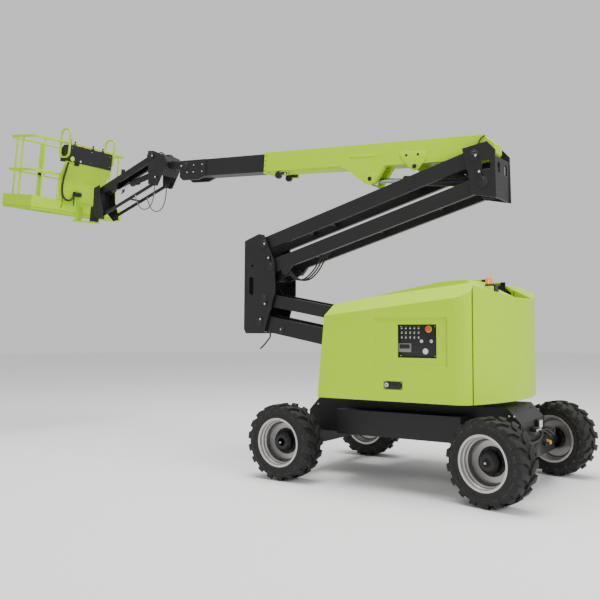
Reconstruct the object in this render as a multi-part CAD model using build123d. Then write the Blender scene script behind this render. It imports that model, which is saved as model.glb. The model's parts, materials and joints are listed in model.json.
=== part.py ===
from build123d import *
import math
import os

# Articulating boom lift on four wheels, parked with its risers part raised.
# Millimetres. +X points to the platform, +Y to the side with the ground controls,
# +Z up. Everything is drawn about the slew axis, which is the middle of the wheelbase,
# and is moved by origin_x so that the origin is under the middle of the machine's length.

# Machine
origin_x = 2532.1
wheelbase = 2444.0
track = 1990.0
pin_clearance = 0.1
seat_gap = 0.3

# Wheels
tyre_diameter = 854.0
tyre_width = 315.0
tread_depth = 26.0
lug_count = 18
lug_centre = 14.0
lug_step = 70.0
lug_lean = 10.0
lug_nose_half = 3.6
lug_step_half = 4.4
lug_shoulder_half = 5.0
lug_foot_half = 5.4
lug_shoulder_drop = 6.0
lug_foot_depth = 88.0
rim_seat_radius = 262.0
rim_flange_radius = 292.0
rim_flange_width = 18.0
rim_width = 300.0
rim_wall = 12.0
rim_step_radius = 238.0
rim_step_depth = 45.0
rim_well_radius = 222.0
rim_well_depth = 80.0
rim_disc_offset = -34.0
rim_disc_thickness = 16.0
rim_disc_cone = 20.0
hub_radius = 110.0
hub_cap_radius = 78.0
hub_cap_length = 30.0
hub_front = 108.0
hub_back = 72.0
spindle_radius = 34.0
spindle_reach = 110.0
steer_rest_deg = 13.1

# Chassis
chassis_overhang = 60.0
chassis_half_width = 400.0
chassis_bottom = 495.0
chassis_top = 880.0
chassis_nose_drop = 150.0
chassis_nose_slope = 140.0
side_box_half_width = 660.0
side_box_wheel_gap = 55.0
side_box_rise = 20.0
side_box_drop = 90.0
arch_slope = 40.0
tie_plate = 25.0
tie_y = 300.0
tie_z = 625.0
tie_reach = 120.0
tie_half = 65.0
tie_hole_radius = 22.0
axle_height = tyre_diameter / 2
axle_beam_depth = 170.0
axle_beam_width = 190.0
axle_end_rise = 40.0
axle_end_drop = 30.0
drive_axle_half = 790.0
drive_axle_taper = 180.0
axle_tube_radius = 75.0
wheel_hub_gap = 5.0
kingpin_y = 800.0
kingpin_radius = 32.0
knuckle_half_height = 68.0
knuckle_radius = 55.0
fork_thickness = 38.0
fork_half_width = 60.0
fork_root_y = 600.0
fork_overlap = 60.0
steer_arm_length = 170.0
steer_arm_half = 22.0
steer_arm_thickness = 25.0
steer_arm_eye = 28.0
steer_neck_radius = 60.0
steer_neck_root = 40.0
steer_rod_radius = 18.0
steer_end_radius = 30.0
steer_end_height = 26.0
steer_bridge_half = 150.0
steer_bridge_thickness = 30.0
steer_barrel_radius = 40.0
steer_barrel_half = 230.0
steer_rod_drop = 38.0
slew_ring_radius = 470.0
slew_ring_height = 55.0

# Turntable
deck_bottom = chassis_top + slew_ring_height + 10.0
deck_thickness = 35.0
deck_half_width = 960.0
deck_front = 700.0
deck_rear = -955.0
channel_half = 290.0
channel_wall = 12.0
tower_plate_in = 225.0
tower_plate = 25.0
tower_head = 100.0
tower_heel = 250.0
hinge_step = 205.0

# Hoods and counterweight
body_half_width = 1050.0
body_bottom = 950.0
body_seam_x = -1000.0
seam_gap = 10.0
hood_front_top = 660.0
hood_front_bottom = 750.0
hood_bevel = 70.0
hood_bevel_in = 45.0
hood_side_top_front = 1840.0
hood_side_top_rear = 2014.0
hood_ridge_in = 200.0
hood_shoulder_rise = 150.0
hood_ridge_front = 1964.0
hood_ridge_mid_x = -641.0
hood_ridge_mid = 2178.0
hood_ridge_rear = 2123.0
hood_wall = 28.0
hood_inner_y = 308.0
hood_hinge_x0 = -900.0
hood_hinge_x1 = -660.0
hood_hinge_z = 2205.0
hood_hinge_radius = 14.0
hood_pin_radius = 6.0
hinge_slot = 25.0
hinge_leaf_half = 4.0
hinge_leaf_reach = 70.0
hinge_leaf = 50.0
hinge_gap = 1.0
weight_rear = -1220.0
weight_tail_radius = 2200.0
weight_corner = 180.0
weight_top = 2010.0
weight_notch_half = 300.0
weight_notch_z = 1560.0
window_x0 = -650.0
window_x1 = -220.0
window_z0 = 1400.0
window_z1 = 1740.0
recess_x0 = -770.0
recess_x1 = 50.0
recess_z0 = 1310.0
recess_z1 = 1810.0
recess_depth = 12.0
latch_x0 = -280.0
latch_x1 = -60.0
latch_z0 = 1070.0
latch_z1 = 1160.0
panel_depth = 55.0
panel_edge = 20.0
panel_stay = 40.0
engine_rear = -850.0
engine_length = 900.0
engine_width = 480.0
engine_height = 620.0
tank_rear = -300.0
tank_length = 700.0
tank_width = 420.0
tank_height = 520.0
beacon_radius = 42.0
beacon_height = 100.0
beacon_seat = 2124.0
beacon_x = -1052.0
beacon_y = 640.0

# Risers: pin centres in side view (x, z), and the vector each parallel pair spans
turntable_top_pin = (-750.0, 1550.0)
turntable_low_pin = (-680.0, 1250.0)
lower_riser_vector = (2850.0, 530.0)
upper_riser_vector = (-2850.0, 770.0)
knuckle_rise = 720.0
knuckle_pin_step = (-100.0, -300.0)
link_in = 155.0
link_out = 205.0
knuckle_in = 225.0
knuckle_out = 245.0
stub_in = 150.0
lower_top_depth = 155.0
lower_low_depth = 200.0
upper_link_depth = 170.0
riser_pin_radius = 30.0
pin_head = 12.0
knuckle_web = 20.0
knuckle_web_x = 280.0
knuckle_web_low = 420.0
knuckle_web_high = 700.0
knuckle_foot = 442.0
knuckle_slot_x = 197.5
knuckle_slot_low = 90.0
knuckle_slot_high = 260.0
knuckle_slot_radius = 37.5
knuckle_hole_radius = 20.0
link_tube_radius = 35.0
timing_in = 118.0
timing_out = 140.0
timing_pin_radius = 22.0
timing_front = (2200.0, 2220.0)
timing_rear = (1800.0, 2430.0)
riser_base_pin = (-450.0, 1080.0)
riser_eye_along = 2440.0
riser_barrel_radius = 60.0
riser_barrel_length = 1480.0
riser_rod_radius = 34.0
riser_rod_start = 200.0
cylinder_eye_half = 55.0
eye_side_gap = 2.0
cylinder_lug_in = 62.0
cylinder_lug_out = 82.0
cylinder_lug_foot = 90.0
cylinder_lug_head = 40.0
cylinder_lug_rise = 45.0
gland_length = 60.0
gland_rise = 6.0
rod_eye_wall = 18.0

# Main boom, set out along its own slope from the pivot pin
boom_slope_deg = 3.85
boom_pivot = (-860.0, 3660.0)
boom_pin_radius = 32.0
boom_half_width = 130.0
boom_above = 155.0
boom_below = 115.0
boom_front = 3035.0
boom_rear = 60.0
boom_wall = 8.0
boom_cheek_radius = 78.0
boom_chamfer = 26.0
boom_collar = 60.0
boom_collar_rise = 6.0
boom_lug_disc = 74.0
boom_lug_disc_rise = 8.0
boom_lug_front = 370.0
boom_lug_rear = 190.0
boom_lug_pin = (588.0, 3490.0)
boom_base_pin = (-700.0, 3330.0)
upper_back_x = 235.0
upper_back_low = 470.0
upper_back_slot_width = 70.0
upper_back_slot_height = 110.0
upper_window = 100.0
boom_barrel_radius = 55.0
boom_barrel_length = 900.0
boom_rod_radius = 30.0
boom_rod_start = 170.0
fly_half_width = 108.0
fly_above = 142.0
fly_below = 92.0
fly_wall = 8.0
fly_rear = 1480.0
fly_box_front = 4360.0
fly_cheek_front = 4560.0
fly_cheek_rear = 4080.0
pad_gap = 0.5

# Jib
jib_level_pin = (3589.0, 4026.0)
jib_top_pin = (4250.0, 4250.0)
jib_low_pin = (4150.0, 3860.0)
jib_vector = (1170.0, -390.0)
jib_base_pin = (4180.0, 4055.0)
jib_eye_along = 950.0
jib_eye_below = 100.0
jib_arm_in = 60.0
jib_arm_out = 100.0
jib_arm_depth = 95.0
jib_cover = 10.0
jib_cover_start = 150.0
jib_cover_end = 1130.0
jib_tie_in = 115.0
jib_tie_out = 130.0
jib_tie_depth = 48.0
jib_plate_in = 145.0
jib_plate_out = 160.0
jib_pin_radius = 22.0
jib_barrel_radius = 42.0
jib_barrel_length = 640.0
jib_rod_radius = 24.0
jib_rod_start = 250.0
neck_half_width = 78.0
neck_half_depth = 58.0
jib_lug_half = 30.0
jib_lug_drop = 32.0
jib_lug_rear = 110.0
jib_lug_front = 90.0
jib_pin_head = 6.0
hose_radius = 8.0
hose_gland_radius = 12.0
hose_gland_length = 34.0

# Platform, in its own tilted frame: forward, across and up from the rear edge of the floor
platform_corner = (6040.0, 3578.0)
platform_tilt_deg = 8.0
platform_depth = 740.0
platform_width = 1800.0
platform_height = 1090.0
platform_corner_radius = 120.0
platform_tube = 17.0
toe_height = 170.0
toe_wall = 4.0
floor_thickness = 8.0
floor_frame = 40.0
mid_rail = 560.0
rotator_back = 395.0
rotator_radius = 72.0
rotator_height = 230.0
console_half = 460.0
console_bend = 500.0
console_lean = 150.0
console_height = 770.0
console_box_half = 425.0
console_box_front = 41.0
console_box_rear = -176.0
console_box_height = 260.0
console_box_nose = 60.0
console_plate = 6.0
hoop_y = 445.0
hoop_front = 30.0
hoop_rear = -185.0
hoop_low = 830.0
hoop_high = 1270.0
hoop_radius = 80.0
hoop_tube = 12.0
gate_post_y = 300.0
gate_gap = 8.0
gate_tube = 13.0
gate_sleeve_wall = 7.0
gate_sleeve_length = 60.0
gate_sleeve_low = 300.0
gate_sleeve_high = 880.0


def add(a, b):
    return (a[0] + b[0], a[1] + b[1])


def along(start, vector, distance, above=0.0):
    # A point at a distance along a sloping member, and above its centre line
    length = math.hypot(*vector)
    ux = vector[0] / length
    uz = vector[1] / length
    nx, nz = (-uz, ux) if ux > 0 else (uz, -ux)
    return (start[0] + ux * distance + nx * above, start[1] + uz * distance + nz * above)


def slab(points, y0, y1, corner=0.0):
    # A plate cut to a side-view outline, from y0 to y1
    face = make_face(Polyline(*[(x, 0, z) for x, z in points], close=True))
    if corner > 0:
        face = fillet(face.vertices(), corner)
    return Pos(0, y0, 0) * extrude(face, amount=y1 - y0, dir=(0, 1, 0))


def both(shape):
    # A piece and its twin across the centre plane
    return shape + mirror(shape, about=Plane.XZ)


def pin(point, radius, y0, y1):
    return Pos(point[0], (y0 + y1) / 2, point[1]) * Rot(90, 0, 0) * Cylinder(radius, y1 - y0)


def rod(start, end, radius):
    # A round bar from one point to another in the centre plane
    dx = end[0] - start[0]
    dz = end[1] - start[1]
    length = math.hypot(dx, dz)
    axis = Plane(origin=(start[0], 0, start[1]), z_dir=(dx, 0, dz))
    return axis * Cylinder(radius, length, align=(Align.CENTER, Align.CENTER, Align.MIN))


def beam(start, end, depth, y0, y1, start_hole, end_hole):
    # A straight link with rounded ends, bored for a pin at each end
    dx = end[0] - start[0]
    dz = end[1] - start[1]
    length = math.hypot(dx, dz)
    nx = -dz / length * depth / 2
    nz = dx / length * depth / 2
    corners = [
        (start[0] + nx, start[1] + nz),
        (end[0] + nx, end[1] + nz),
        (end[0] - nx, end[1] - nz),
        (start[0] - nx, start[1] - nz),
    ]
    body = slab(corners, y0, y1) + pin(start, depth / 2, y0, y1) + pin(end, depth / 2, y0, y1)
    body -= pin(start, start_hole + pin_clearance, y0 - 1, y1 + 1)
    body -= pin(end, end_hole + pin_clearance, y0 - 1, y1 + 1)
    return body


def block(x0, x1, y0, y1, z0, z1):
    return Pos((x0 + x1) / 2, (y0 + y1) / 2, (z0 + z1) / 2) * Box(x1 - x0, y1 - y0, z1 - z0)


os.makedirs("parts", exist_ok=True)


def save(name, shape):
    moved = Pos(-origin_x, 0, 0) * shape
    moved.label = name
    export_step(moved, "parts/" + name + ".step")


# Wheels
def tyre():
    # Bar-lug tyre as one flat-faced solid, drawn about its axle with a lug at its lowest point
    outer = tyre_diameter / 2
    half = tyre_width / 2
    groove = outer - tread_depth
    foot = outer - lug_foot_depth
    pitch = 360.0 / lug_count
    flat_top = outer / math.cos(math.radians(lug_step_half))
    flat = math.cos(math.radians(pitch / 2))
    bead = (rim_seat_radius + seat_gap) / flat
    lip = (rim_flange_radius + seat_gap) / flat
    bead_y = rim_width / 2 - rim_flange_width - seat_gap
    # Each station: distance from the centre plane, groove radius, lug radius, lean and half width in degrees
    nose = (lug_centre, groove, outer - 1, 0.0, lug_nose_half)
    step = (lug_step, groove, flat_top, lug_lean * 0.7, lug_step_half)
    shoulder_y = half - lug_centre
    shoulder = (shoulder_y, groove - 8, outer - lug_shoulder_drop, lug_lean, lug_shoulder_half)
    toe = (half, foot, foot, lug_lean, lug_foot_half)
    wall = [(foot, half), (lip + 8, half - 6), (lip, bead_y), (bead, bead_y)]
    triangles = []
    for i in range(2 * lug_count):
        side = 1 if i % 2 == 0 else -1
        turn = pitch * i / 2 - 180.0 - lug_lean * 0.7

        def at(radius, y, angle):
            a = math.radians(angle + turn)
            return Vector(radius * math.sin(a), y * side, radius * math.cos(a))

        def tri(a, b, c):
            triangles.append((a, b, c) if side > 0 else (a, c, b))

        def quad(a, b, c, d):
            tri(a, b, c)
            tri(a, c, d)

        def edges(station):
            # Groove left, right and next left, then lug left and right
            y, low, high, lean, wide = station
            return (
                at(low, y, lean - wide),
                at(low, y, lean + wide),
                at(low, y, lean - wide + pitch),
                at(high, y, lean - wide),
                at(high, y, lean + wide),
            )

        centre = [at(groove, 0, -pitch / 4), at(groove, 0, pitch / 4), at(groove, 0, 3 * pitch / 4)]
        low_a, low_b, low_n, top_a, top_b = edges(nose)
        quad(centre[0], centre[1], low_b, low_a)
        quad(centre[1], centre[2], low_n, low_b)
        quad(low_a, low_b, top_b, top_a)
        for station in (step, shoulder):
            next_a, next_b, next_n, crest_a, crest_b = edges(station)
            quad(low_b, low_n, next_n, next_b)
            quad(low_a, top_a, crest_a, next_a)
            quad(top_a, top_b, crest_b, crest_a)
            quad(top_b, low_b, next_b, crest_b)
            low_a, low_b, low_n, top_a, top_b = next_a, next_b, next_n, crest_a, crest_b
        foot_a, foot_b, foot_n, _, _ = edges(toe)
        quad(low_b, low_n, foot_n, foot_b)
        tri(low_a, top_a, foot_a)
        quad(top_a, top_b, foot_b, foot_a)
        tri(top_b, low_b, foot_b)
        start = lug_lean - lug_foot_half
        wall_a = at(*wall[1], start)
        wall_n = at(*wall[1], start + pitch)
        tri(foot_a, foot_b, wall_a)
        tri(foot_b, wall_n, wall_a)
        tri(foot_b, foot_n, wall_n)
        for here, there in zip(wall[1:], wall[2:]):
            quad(at(*here, start), at(*here, start + pitch), at(*there, start + pitch), at(*there, start))
        if side > 0:
            near_a = at(bead, bead_y, start)
            near_n = at(bead, bead_y, start + pitch)
            far_a = at(bead, -bead_y, start + pitch / 2)
            far_n = at(bead, -bead_y, start + pitch * 1.5)
            tri(near_a, near_n, far_a)
            tri(near_n, far_n, far_a)
    faces = [Face(Wire.make_polygon(corners, close=True)) for corners in triangles]
    return Solid(Shell(faces))


def rim():
    # Pressed rim with a stepped well, its disc and the gear hub, drawn about the axle
    half = rim_width / 2
    wall_radius = rim_seat_radius - rim_wall
    disc_out = rim_disc_offset + rim_disc_thickness / 2
    disc_in = rim_disc_offset - rim_disc_thickness / 2
    step_y = half - rim_step_depth
    well_y = half - rim_well_depth
    back_y = disc_in - rim_disc_cone
    groove_radius = rim_well_radius + rim_wall
    profile = make_face(
        Polyline(
            (wall_radius, -half),
            (rim_flange_radius, -half),
            (rim_flange_radius, -half + rim_flange_width),
            (rim_seat_radius, -half + rim_flange_width),
            (rim_seat_radius, back_y),
            (groove_radius, disc_in),
            (groove_radius, well_y),
            (rim_seat_radius, step_y),
            (rim_seat_radius, half - rim_flange_width),
            (rim_flange_radius, half - rim_flange_width),
            (rim_flange_radius, half),
            (wall_radius, half),
            (wall_radius, step_y),
            (rim_step_radius, step_y - rim_wall),
            (rim_step_radius, well_y),
            (rim_well_radius, well_y - rim_wall),
            (rim_well_radius, disc_out + rim_disc_cone),
            (rim_well_radius - rim_disc_cone, disc_out),
            (hub_radius - 1, disc_out),
            (hub_radius - 1, disc_in),
            (rim_well_radius - rim_wall, disc_in),
            (wall_radius, back_y - rim_wall),
            close=True,
        )
    )
    hub_in = rim_disc_offset - hub_back
    hub_out = rim_disc_offset + hub_front
    hub_profile = make_face(
        Polyline(
            (0, hub_in),
            (hub_radius, hub_in),
            (hub_radius, hub_out - hub_cap_length),
            (hub_cap_radius, hub_out),
            (0, hub_out),
            close=True,
        )
    )
    bore = pin((0, 0), spindle_radius + pin_clearance, hub_in - 1, hub_in + spindle_reach + 1)
    return revolve(profile, axis=Axis.Y) + revolve(hub_profile, axis=Axis.Y) - bore


wheel_places = {
    "front_near": (wheelbase / 2, track / 2, 0.0, 1),
    "front_far": (wheelbase / 2, -track / 2, 0.0, -1),
    "rear_near": (-wheelbase / 2, track / 2, -steer_rest_deg, 1),
    "rear_far": (-wheelbase / 2, -track / 2, -steer_rest_deg, -1),
}


def steered(x, side, angle):
    # Where a wheel's centre goes once its kingpin has turned it
    kingpin = Pos(x, side * kingpin_y, axle_height) * Rot(0, 0, angle)
    return kingpin * Pos(0, side * (track / 2 - kingpin_y), 0)


for name, (x, y, angle, side) in wheel_places.items():
    place = steered(x, side, angle)
    flip = Rot(0, 0, 0) if side > 0 else Rot(0, 0, 180)
    save("tyre_" + name, place * flip * tyre())
    save("rim_" + name, place * flip * rim())

# Chassis frame: a welded box with a sloped nose at each end and side tanks between the wheels
front_x = wheelbase / 2
rear_x = -wheelbase / 2
axle_top = axle_height + axle_beam_depth / 2
chassis_end = front_x + chassis_overhang
axle_seat = axle_top + seat_gap
arch = front_x - axle_beam_width / 2 - seat_gap
frame_outline = [
    (-chassis_end, axle_seat),
    (-arch, axle_seat),
    (-arch + arch_slope, chassis_bottom),
    (arch - arch_slope, chassis_bottom),
    (arch, axle_seat),
    (chassis_end, axle_seat),
    (chassis_end, chassis_top - chassis_nose_drop),
    (chassis_end - chassis_nose_slope, chassis_top),
    (-chassis_end + chassis_nose_slope, chassis_top),
    (-chassis_end, chassis_top - chassis_nose_drop),
]
frame = slab(frame_outline, -chassis_half_width, chassis_half_width)
side_half = front_x - tyre_diameter / 2 - side_box_wheel_gap
side_z0 = chassis_bottom + side_box_rise
side_z1 = chassis_top - side_box_drop
frame += block(-side_half, side_half, -side_box_half_width, side_box_half_width, side_z0, side_z1)
# Tie-down eyes at both ends: flat lugs with an upright hole for a shackle
tie_x = chassis_end + tie_reach / 2
tie_tip = chassis_end + tie_reach
eye_face = make_face(
    Polyline(
        (chassis_end - 1, tie_y - tie_half),
        (tie_x, tie_y - tie_half),
        (tie_tip, tie_y - tie_half / 2),
        (tie_tip, tie_y + tie_half / 2),
        (tie_x, tie_y + tie_half),
        (chassis_end - 1, tie_y + tie_half),
        close=True,
    )
)
eye = Pos(0, 0, tie_z - tie_plate / 2) * extrude(eye_face, amount=tie_plate, dir=(0, 0, 1))
eye -= Pos(tie_x, tie_y, tie_z) * Cylinder(tie_hole_radius, 2 * tie_plate)
ends = both(eye)
frame += ends + mirror(ends, about=Plane.YZ)
save("chassis_frame", frame)

slew_ring = Pos(0, 0, chassis_top + seat_gap) * Cylinder(
    slew_ring_radius, slew_ring_height - 2 * seat_gap, align=(Align.CENTER, Align.CENTER, Align.MIN)
)
save("slew_ring", slew_ring)


def axle_beam(x, half, taper):
    low = axle_height - axle_beam_depth / 2
    outline = [
        (-half, low + axle_end_rise),
        (-half + taper, low),
        (half - taper, low),
        (half, low + axle_end_rise),
        (half, axle_top - axle_end_drop),
        (half - taper, axle_top),
        (-half + taper, axle_top),
        (-half, axle_top - axle_end_drop),
    ]
    face = make_face(Polyline(*[(0, y, z) for y, z in outline], close=True))
    return Pos(x - axle_beam_width / 2, 0, 0) * extrude(face, amount=axle_beam_width, dir=(1, 0, 0))


hub_face = track / 2 + rim_disc_offset - hub_back
tube_half = hub_face - wheel_hub_gap
drive_axle = axle_beam(front_x, drive_axle_half, drive_axle_taper)
drive_axle += pin((front_x, axle_height), axle_tube_radius, -tube_half, tube_half)
spindle_half = hub_face + spindle_reach - 1
drive_axle += pin((front_x, axle_height), spindle_radius, -spindle_half, spindle_half)
save("drive_axle", drive_axle)

# Steered axle: a beam with a fork and kingpin at each end, and the steering cylinder across it
steer_axle = axle_beam(rear_x, fork_root_y + fork_overlap, fork_overlap / 2)
fork_end = kingpin_y + fork_half_width
for side in (-1, 1):
    for level in (-1, 1):
        z0 = axle_height + level * (knuckle_half_height + seat_gap)
        z1 = z0 + level * fork_thickness
        y0 = min(side * fork_root_y, side * kingpin_y)
        y1 = max(side * fork_root_y, side * kingpin_y)
        fork_x0 = rear_x - fork_half_width
        fork_x1 = rear_x + fork_half_width
        steer_axle += block(fork_x0, fork_x1, y0, y1, min(z0, z1), max(z0, z1))
        ear = Pos(rear_x, side * kingpin_y, (z0 + z1) / 2) * Cylinder(fork_half_width, fork_thickness)
        steer_axle += ear
    kingpin_half = knuckle_half_height + fork_thickness
    steer_axle += Pos(rear_x, side * kingpin_y, axle_height) * Cylinder(kingpin_radius, 2 * kingpin_half)
tip_turn = math.radians(steer_rest_deg)
steer_rod_x = rear_x + steer_arm_length * math.cos(tip_turn)
steer_rod_z = axle_height - steer_rod_drop
steer_barrel = pin((steer_rod_x, steer_rod_z), steer_barrel_radius, -steer_barrel_half, steer_barrel_half)
bridge = block(
    rear_x + axle_beam_width / 2 - 5,
    steer_rod_x,
    -steer_bridge_half,
    steer_bridge_half,
    steer_rod_z - steer_bridge_thickness / 2,
    steer_rod_z + steer_bridge_thickness / 2,
)
steer_axle += bridge + steer_barrel
steer_axle -= pin((steer_rod_x, steer_rod_z), steer_rod_radius + pin_clearance, -kingpin_y, kingpin_y)
save("steer_axle", steer_axle)

tip_shift = -steer_arm_length * math.sin(tip_turn)
rod_half = kingpin_y - steer_end_radius / 2
steer_rod = pin((steer_rod_x, steer_rod_z), steer_rod_radius, tip_shift - rod_half, tip_shift + rod_half)
for side in (-1, 1):
    end = Pos(steer_rod_x, side * kingpin_y + tip_shift, steer_rod_z)
    steer_rod += end * Cylinder(steer_end_radius, steer_end_height)
save("steering_rod", steer_rod)


def steer_knuckle(side):
    # Hub carrier on the kingpin, with its spindle and its steering arm, drawn about the kingpin
    body = Cylinder(knuckle_radius, 2 * knuckle_half_height)
    reach = hub_face - kingpin_y - wheel_hub_gap
    neck = pin((0, 0), steer_neck_radius, steer_neck_root, reach)
    stub = pin((0, 0), spindle_radius, steer_neck_root, hub_face - kingpin_y + spindle_reach - 1)
    body += neck + stub
    arm_top = steer_end_height / 2 - steer_rod_drop + steer_arm_thickness + 5
    arm_middle = arm_top - steer_arm_thickness / 2
    arm = block(0, steer_arm_length, -steer_arm_half, steer_arm_half, arm_top - steer_arm_thickness, arm_top)
    arm += Pos(steer_arm_length, 0, arm_middle) * Cylinder(steer_arm_eye, steer_arm_thickness)
    body += arm
    body -= Cylinder(kingpin_radius + pin_clearance, 4 * knuckle_half_height)
    if side < 0:
        body = mirror(body, about=Plane.XZ)
    return body


for name, side in (("near", 1), ("far", -1)):
    place = Pos(rear_x, side * kingpin_y, axle_height) * Rot(0, 0, -steer_rest_deg)
    save("steer_knuckle_" + name, place * steer_knuckle(side))

# Turntable: deck on the slew ring, channel walls and the riser tower
deck_top = deck_bottom + deck_thickness
deck = block(deck_rear, deck_front, -deck_half_width, deck_half_width, deck_bottom, deck_top)
deck += Pos(0, 0, deck_bottom - 5) * Cylinder(slew_ring_radius - 40, 10)
deck += block(body_seam_x + seat_gap, deck_rear + 1, -channel_half, channel_half, deck_bottom, deck_top)
wall_out = channel_half + channel_wall
for side in (-1, 1):
    y0 = min(side * channel_half, side * wall_out)
    y1 = max(side * channel_half, side * wall_out)
    deck += slab(
        [
            (deck_rear, deck_top),
            (deck_front - 60, deck_top),
            (deck_front - 120, hood_side_top_front - 90),
            (hood_hinge_x1, hood_hinge_z - hinge_step),
            (hood_hinge_x1, hood_hinge_z),
            (hood_hinge_x0, hood_hinge_z),
            (hood_hinge_x0, hood_hinge_z - hinge_step),
            (deck_rear, hood_side_top_front + 40),
        ],
        y0,
        y1,
    )
    gap_x0 = hood_hinge_x0 + hinge_leaf
    gap_x1 = hood_hinge_x1 - hinge_leaf
    deck -= block(gap_x0, gap_x1, y0 - 1, y1 + 1, hood_hinge_z - hinge_slot, hood_hinge_z + 2 * hinge_slot)
    hinge_y = side * (channel_half + channel_wall / 2)
    for x0 in (hood_hinge_x0, hood_hinge_x1 - hinge_leaf):
        sleeve = Pos(x0 + hinge_leaf / 2, hinge_y, hood_hinge_z) * Rot(0, 90, 0)
        deck += sleeve * Cylinder(hood_hinge_radius, hinge_leaf)
    hinge_core = Pos(hood_hinge_x0, hinge_y, hood_hinge_z) * Rot(0, 90, 0)
    core_length = hood_hinge_x1 - hood_hinge_x0
    deck += hinge_core * Cylinder(hood_pin_radius, core_length, align=(Align.CENTER, Align.CENTER, Align.MIN))
tower_out = tower_plate_in + tower_plate
top_x, top_z = turntable_top_pin
low_x, low_z = turntable_low_pin
tower = slab(
    [
        (deck_rear, deck_top),
        (top_x - tower_head, top_z + tower_head / 2),
        (top_x - tower_head / 2, top_z + tower_head),
        (top_x + tower_head / 2, top_z + tower_head),
        (low_x + tower_head, low_z + tower_head),
        (riser_base_pin[0] + tower_heel, deck_top + tower_heel),
        (riser_base_pin[0] + tower_heel, deck_top),
    ],
    tower_plate_in,
    tower_out,
)
deck += both(tower)
brace_x = deck_rear + tower_plate
deck += block(brace_x, brace_x + tower_plate, -tower_plate_in - 1, tower_plate_in + 1, deck_top, low_z)
for point in (turntable_top_pin, turntable_low_pin):
    deck += both(pin(point, riser_pin_radius, stub_in, tower_out))
lug_outline = [
    (riser_base_pin[0] - cylinder_lug_foot, deck_top),
    (riser_base_pin[0] + cylinder_lug_foot, deck_top),
    (riser_base_pin[0] + cylinder_lug_head, riser_base_pin[1] + cylinder_lug_rise),
    (riser_base_pin[0] - cylinder_lug_head, riser_base_pin[1] + cylinder_lug_rise),
]
deck += both(slab(lug_outline, cylinder_lug_in, cylinder_lug_out))
deck += pin(riser_base_pin, boom_pin_radius, -cylinder_lug_out, cylinder_lug_out)
save("turntable_frame", deck)

floor_z = deck_top + seat_gap
inner_y = wall_out + seat_gap
engine_front = engine_rear + engine_length
engine_top = deck_top + engine_height
engine = block(engine_rear, engine_front, -inner_y - engine_width, -inner_y, floor_z, engine_top)
save("engine_block", engine)
tank_front = tank_rear + tank_length
tank = block(tank_rear, tank_front, inner_y, inner_y + tank_width, floor_z, deck_top + tank_height)
save("fluid_tank", tank)


def body_plan(inset, height):
    # The body seen from above: square at the front, with a shallow curved tail
    front = hood_front_bottom + tower_heel
    outline = Pos((front + weight_rear) / 2, 0) * Rectangle(front - weight_rear, 2 * body_half_width)
    outline &= Pos(weight_rear + weight_tail_radius, 0) * Circle(weight_tail_radius)
    corners = [v for v in outline.vertices() if v.X < 0 and abs(v.Y) > body_half_width - 1]
    outline = fillet(corners, weight_corner)
    if inset > 0:
        outline = offset(outline, -inset)
    return Pos(0, 0, body_bottom - height / 2) * extrude(outline, amount=2 * height)


def shoulder_cut(inset):
    # The wedges above the sloping shoulder line and below the skirt's bevel, seen along X
    out = body_half_width - inset
    rise = (hood_side_top_rear - hood_side_top_front) / (hood_front_top - body_seam_x)
    x = hood_front_top + 300
    z = hood_side_top_front - 300 * rise - inset * 1.2
    slope = hood_shoulder_rise / hood_ridge_in
    high = make_face(
        Polyline(
            (x, out + 100, z - 100 * slope),
            (x, out - hood_ridge_in, z + hood_shoulder_rise),
            (x, out - hood_ridge_in, z + 900),
            (x, out + 100, z + 900),
            close=True,
        )
    )
    low = make_face(
        Polyline(
            (x, out + 1, body_bottom + hood_bevel),
            (x, out - hood_bevel_in, body_bottom - 1),
            (x, out + 1, body_bottom - 1),
            close=True,
        )
    )
    upper = extrude(high, amount=2900, dir=(-1, 0, rise))
    lower = extrude(low, amount=2900, dir=(-1, 0, 0))
    return upper, lower


def hood_form(inset, low_end, inner_y):
    rear = body_seam_x + seam_gap + inset
    side = slab(
        [
            (rear, low_end),
            (hood_front_bottom - inset, low_end),
            (hood_front_bottom - inset, body_bottom),
            (hood_front_top - inset, hood_side_top_front),
            (hood_front_top - 25 - inset, hood_ridge_front - inset),
            (hood_ridge_mid_x, hood_ridge_mid - inset),
            (hood_ridge_mid_x - 248, hood_ridge_mid + 8 - inset),
            (rear, hood_ridge_rear - inset),
        ],
        inner_y,
        body_half_width - inset,
    )
    upper, lower = shoulder_cut(inset)
    side -= upper
    if inset == 0:
        side -= lower
    return side & body_plan(inset, weight_top)


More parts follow.
